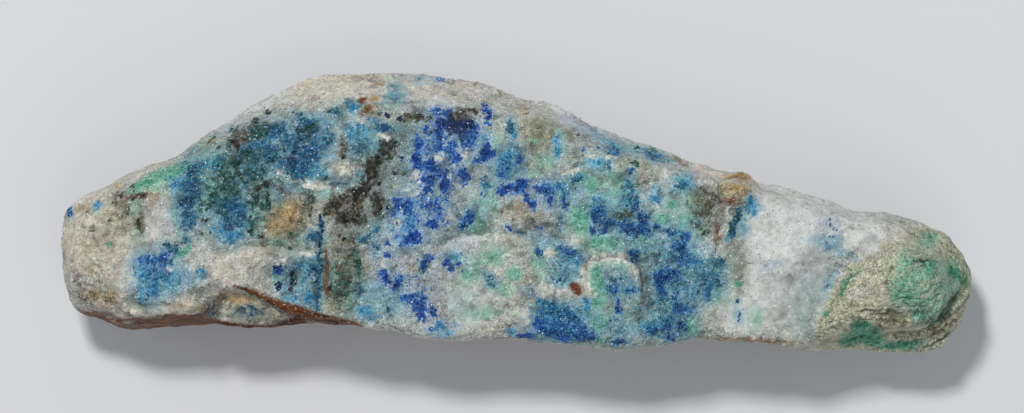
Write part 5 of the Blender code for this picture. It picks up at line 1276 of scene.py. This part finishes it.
def faceted(tree, grains, mottle):
    """The surface's direction, with every fine grain leaning its own way."""
    tilt = vector_math(tree, "SUBTRACT", grains["Color"], MIDDLE)
    tilt = vector_math(tree, "SCALE", tilt, FACET_TILT)
    normal = add_node(tree, "ShaderNodeNewGeometry").outputs["Normal"]
    facet = vector_math(tree, "NORMALIZE", vector_math(tree, "ADD", normal, tilt))
    sockets = {"Strength": BUMP_STRENGTH, "Distance": BUMP_DEPTH * MM, "Height": mottle,
               "Normal": facet}
    return add_node(tree, "ShaderNodeBump", sockets).outputs[0]


def stone_material():
    material, tree, shader = new_material("azurite malachite quartz")
    place = add_node(tree, "ShaderNodeTexCoord").outputs["Object"]
    waver = vector_math(tree, "SUBTRACT", soft_noise(tree, place, "waver", "Color"), MIDDLE)
    waver = vector_math(tree, "SCALE", waver, WAVER_REACH * MM)
    ragged = vector_math(tree, "ADD", place, waver)
    grains, fine = cells(tree, ragged, FINE_GRAIN)
    coarse = cells(tree, ragged, COARSE_GRAIN)[1]
    mottle = soft_noise(tree, place, "mottle")
    patchy = spread(tree, mottle, "patchy", clamp=True)
    slow = channels(tree, soft_noise(tree, place, "slow", "Color"))
    speckles = []
    for number in range(3):
        shifted = vector_math(tree, "ADD", place, (number * SPECKLE_SHIFT, 0.0, 0.0))
        speckles.extend(channels(tree, soft_noise(tree, shifted, "speckle", "Color")))
    calm = 0.0
    for name, share in CALM_SHARES.items():
        calm = multiply_add(tree, cover_of(tree, name), share, calm, clamp=True)

    drift = spread(tree, soft_noise(tree, place, "drift"), "drift")
    colour = stained_quartz(tree, patchy)
    colour = vector_math(tree, "SCALE", colour, calmed(tree, calm, drift))
    colour = crusted(tree, colour, fine, coarse, speckles, slow)
    tinge = soft_noise(tree, place, "tinge", "Color")
    tinge = vector_math(tree, "MULTIPLY_ADD", tinge, *SPREADS["tinge"])
    colour = blend(tree, calm, vector_math(tree, "MULTIPLY", colour, tinge), colour)
    colour = with_nodule(tree, colour, patchy, fine, speckles, slow)
    # Rust, and the painted shadow under the overhang in the same tones.
    streaks = soft_noise(tree, vector_math(tree, "MULTIPLY", place, RUST_STRETCH), "rust")
    rust = two_tones(tree, spread(tree, streaks, "rust", clamp=True), RUST_AND_SHADE)
    colour = blend(tree, cover_of(tree, "wall_rust_and_shade"), colour, rust)
    colour = vector_math(tree, "SCALE", colour, grit_and_hollow_shade(tree, place, calm, fine))
    # Painted glints: some fine grains get small pale spots that stand in for light glinting off
    # crystal faces.
    painted_glint = multiply_add(tree, spread(tree, fine[2], "painted_glint", clamp=True),
                           spread(tree, grains["Distance"], "glint_spot", clamp=True))
    colour = blend(tree, painted_glint, colour, linear(PAINTED_GLINT))

    shiny = add_node(tree, "ShaderNodeMath", {0: fine[2], 1: SHINY_GRAINS},
                     operation="GREATER_THAN").outputs[0]
    tree.links.new(colour, shader.inputs["Base Color"])
    tree.links.new(faceted(tree, grains, mottle), shader.inputs["Normal"])
    tree.links.new(spread(tree, shiny, "dull"), shader.inputs["Roughness"])
    for name, value in STONE_SHINE.items():
        shader.inputs[name].default_value = value
    return material


def crystal_material(name, tones, roughness):
    material, tree, shader = new_material(name + " crystals")
    colour = three_tones(tree, cover_of(tree, "depth"), tones)
    tree.links.new(colour, shader.inputs["Base Color"])
    shader.inputs["Roughness"].default_value = roughness
    return material


# ---------------------------------------------------------------- crystals

def crystal_form():
    """Corners and faces of one stubby four-sided crystal with a slanting point, of half size 1."""
    deselect_all()
    bpy.ops.mesh.primitive_cylinder_add(vertices=4, radius=1.0, depth=CRYSTAL_SHAFT,
                                        location=(0.0, 0.0, 0.0))
    crystal = bpy.context.active_object
    bpy.ops.object.mode_set(mode="EDIT")
    bpy.ops.mesh.select_all(action="DESELECT")
    bpy.ops.object.mode_set(mode="OBJECT")
    for face in crystal.data.polygons:
        face.select = face.normal.z > 0.9
    bpy.ops.object.mode_set(mode="EDIT")
    bpy.ops.mesh.select_mode(type="FACE")
    bpy.ops.mesh.extrude_region_move(TRANSFORM_OT_translate={"value": CRYSTAL_TIP})
    bpy.ops.mesh.merge(type="COLLAPSE")
    bpy.ops.object.mode_set(mode="OBJECT")
    corners = np.array([vertex.co for vertex in crystal.data.vertices])
    # the merge leaves the faces of the point in any order
    faces = sorted(tuple(face.vertices) for face in crystal.data.polygons)
    bpy.data.objects.remove(crystal, do_unlink=True)
    return corners, faces


def turned(count, rng):
    """That many random rotations, as matrices."""
    w, x, y, z = rng.normal(size=(4, count))
    length = np.sqrt(w * w + x * x + y * y + z * z)
    w, x, y, z = w / length, x / length, y / length, z / length
    return np.array((
        (1 - 2 * (y * y + z * z), 2 * (x * y - z * w), 2 * (x * z + y * w)),
        (2 * (x * y + z * w), 1 - 2 * (x * x + z * z), 2 * (y * z - x * w)),
        (2 * (x * z - y * w), 2 * (y * z + x * w), 1 - 2 * (x * x + y * y)),
    )).transpose(2, 0, 1)


def scatter(form, stone, chances, name, count, smallest, largest, rng):
    """One mesh of many small crystals sunk into the face where the mineral is."""
    points, normals = points_of(stone.data)
    weights = chances * (normals[:, 2] > CRYSTAL_SLOPE)
    places = rng.choice(len(points), size=count, p=weights / weights.sum())
    corners, faces = form
    half = rng.uniform(smallest, largest, count)
    stretch = np.stack((np.ones(count), rng.uniform(*CRYSTAL_WIDTHS, count),
                        rng.uniform(*CRYSTAL_LENGTHS, count)), 1)
    shaped = corners[None, :, :] * (stretch * half[:, None])[:, None, :]
    shaped = np.einsum("nij,nkj->nki", turned(count, rng), shaped)
    sunk = half * rng.uniform(*CRYSTAL_HEIGHTS, count)
    middle = points[places] + rng.uniform(-CRYSTAL_STRAY, CRYSTAL_STRAY, (count, 3))
    shaped += (middle + normals[places] * sunk[:, None])[:, None, :]
    first = np.arange(count) * len(corners)
    all_faces = [tuple(start + corner for corner in face)
                 for start in first.tolist() for face in faces]
    mesh = bpy.data.meshes.new(name)
    mesh.from_pydata((shaped.reshape(-1, 3) * MM).tolist(), [], all_faces)
    least, by_cover, by_chance = CRYSTAL_DEPTHS
    depth = least + by_cover * chances[places] + rng.uniform(-by_chance, by_chance, count)
    keep_attribute(mesh, "depth", np.repeat(np.clip(depth, 0.0, 1.0), len(corners)))
    obj = bpy.data.objects.new(name, mesh)
    bpy.context.scene.collection.objects.link(obj)
    return obj


def add_crystals(stone, layers):
    rng = np.random.default_rng(SEED)
    bare = 1.0 - sum(layers[name] for name in CRUSTS)
    chances = {name: np.clip(layers[name] - CRUST_THINNEST, 0.0, 1.0)
               for name in CRYSTALS if name in layers}
    chances["quartz"] = np.clip(bare - layers["manganese"], BARE_CHANCE, 1.0)
    chances["quartz"] *= 1.0 - layers["nodule_sand"]
    form = crystal_form()
    made = []
    for name, (count, smallest, largest, tones, roughness) in CRYSTALS.items():
        obj = scatter(form, stone, chances[name], name + "_crystals", count, smallest, largest, rng)
        obj.data.materials.append(crystal_material(name, tones, roughness))
        made.append(obj)
    return made


# ---------------------------------------------------------------- floor, lights and camera

def add_floor():
    bpy.ops.mesh.primitive_plane_add(size=FLOOR_SIDE, location=(0.0, 0.0, 0.0))
    floor = bpy.context.active_object
    floor.name = "floor"
    material, _, shader = new_material("pale paper")
    shader.inputs["Base Color"].default_value = linear(PAPER)
    shader.inputs["Roughness"].default_value = 0.9
    floor.data.materials.append(material)


def add_lights():
    for name, (power, size, place) in LIGHTS.items():
        light = bpy.data.lights.new(name, "AREA")
        light.energy = power
        light.size = size
        obj = bpy.data.objects.new(name, light)
        obj.location = place
        aim = Vector(place) - Vector(LIT_POINT)
        obj.rotation_euler = aim.to_track_quat("Z", "Y").to_euler()
        bpy.context.scene.collection.objects.link(obj)
    world = bpy.data.worlds.new("sky")
    world.use_nodes = True
    background = world.node_tree.nodes["Background"]
    background.inputs["Color"].default_value, background.inputs["Strength"].default_value = SKY
    bpy.context.scene.world = world


def add_camera():
    camera = bpy.data.cameras.new("camera")
    camera.sensor_width = SENSOR_WIDTH
    camera.lens = SENSOR_WIDTH * (CAMERA_HEIGHT - GIRTH_HEIGHT) / VIEW_WIDTH
    camera.clip_start = 0.01
    obj = bpy.data.objects.new("camera", camera)
    obj.location = (*VIEW_MIDDLE, CAMERA_HEIGHT)
    bpy.context.scene.collection.objects.link(obj)
    bpy.context.scene.camera = obj


# ---------------------------------------------------------------- the specimen

def build_specimen():
    stone = surface_copy(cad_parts[STONE_NODE])
    even_surface(stone)
    refine_face(stone)
    roughen(stone)
    stone.data.polygons.foreach_set("use_smooth", np.ones(len(stone.data.polygons), bool))
    stone.data.materials.append(stone_material())
    layers = mineral_layers(stone)
    crystals = add_crystals(stone, layers)
    for piece in (stone, *crystals):
        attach(piece, "root")
    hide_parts(STONE_NODE)


build_specimen()
add_floor()
add_lights()
add_camera()
bpy.context.scene.view_settings.view_transform = "Standard"
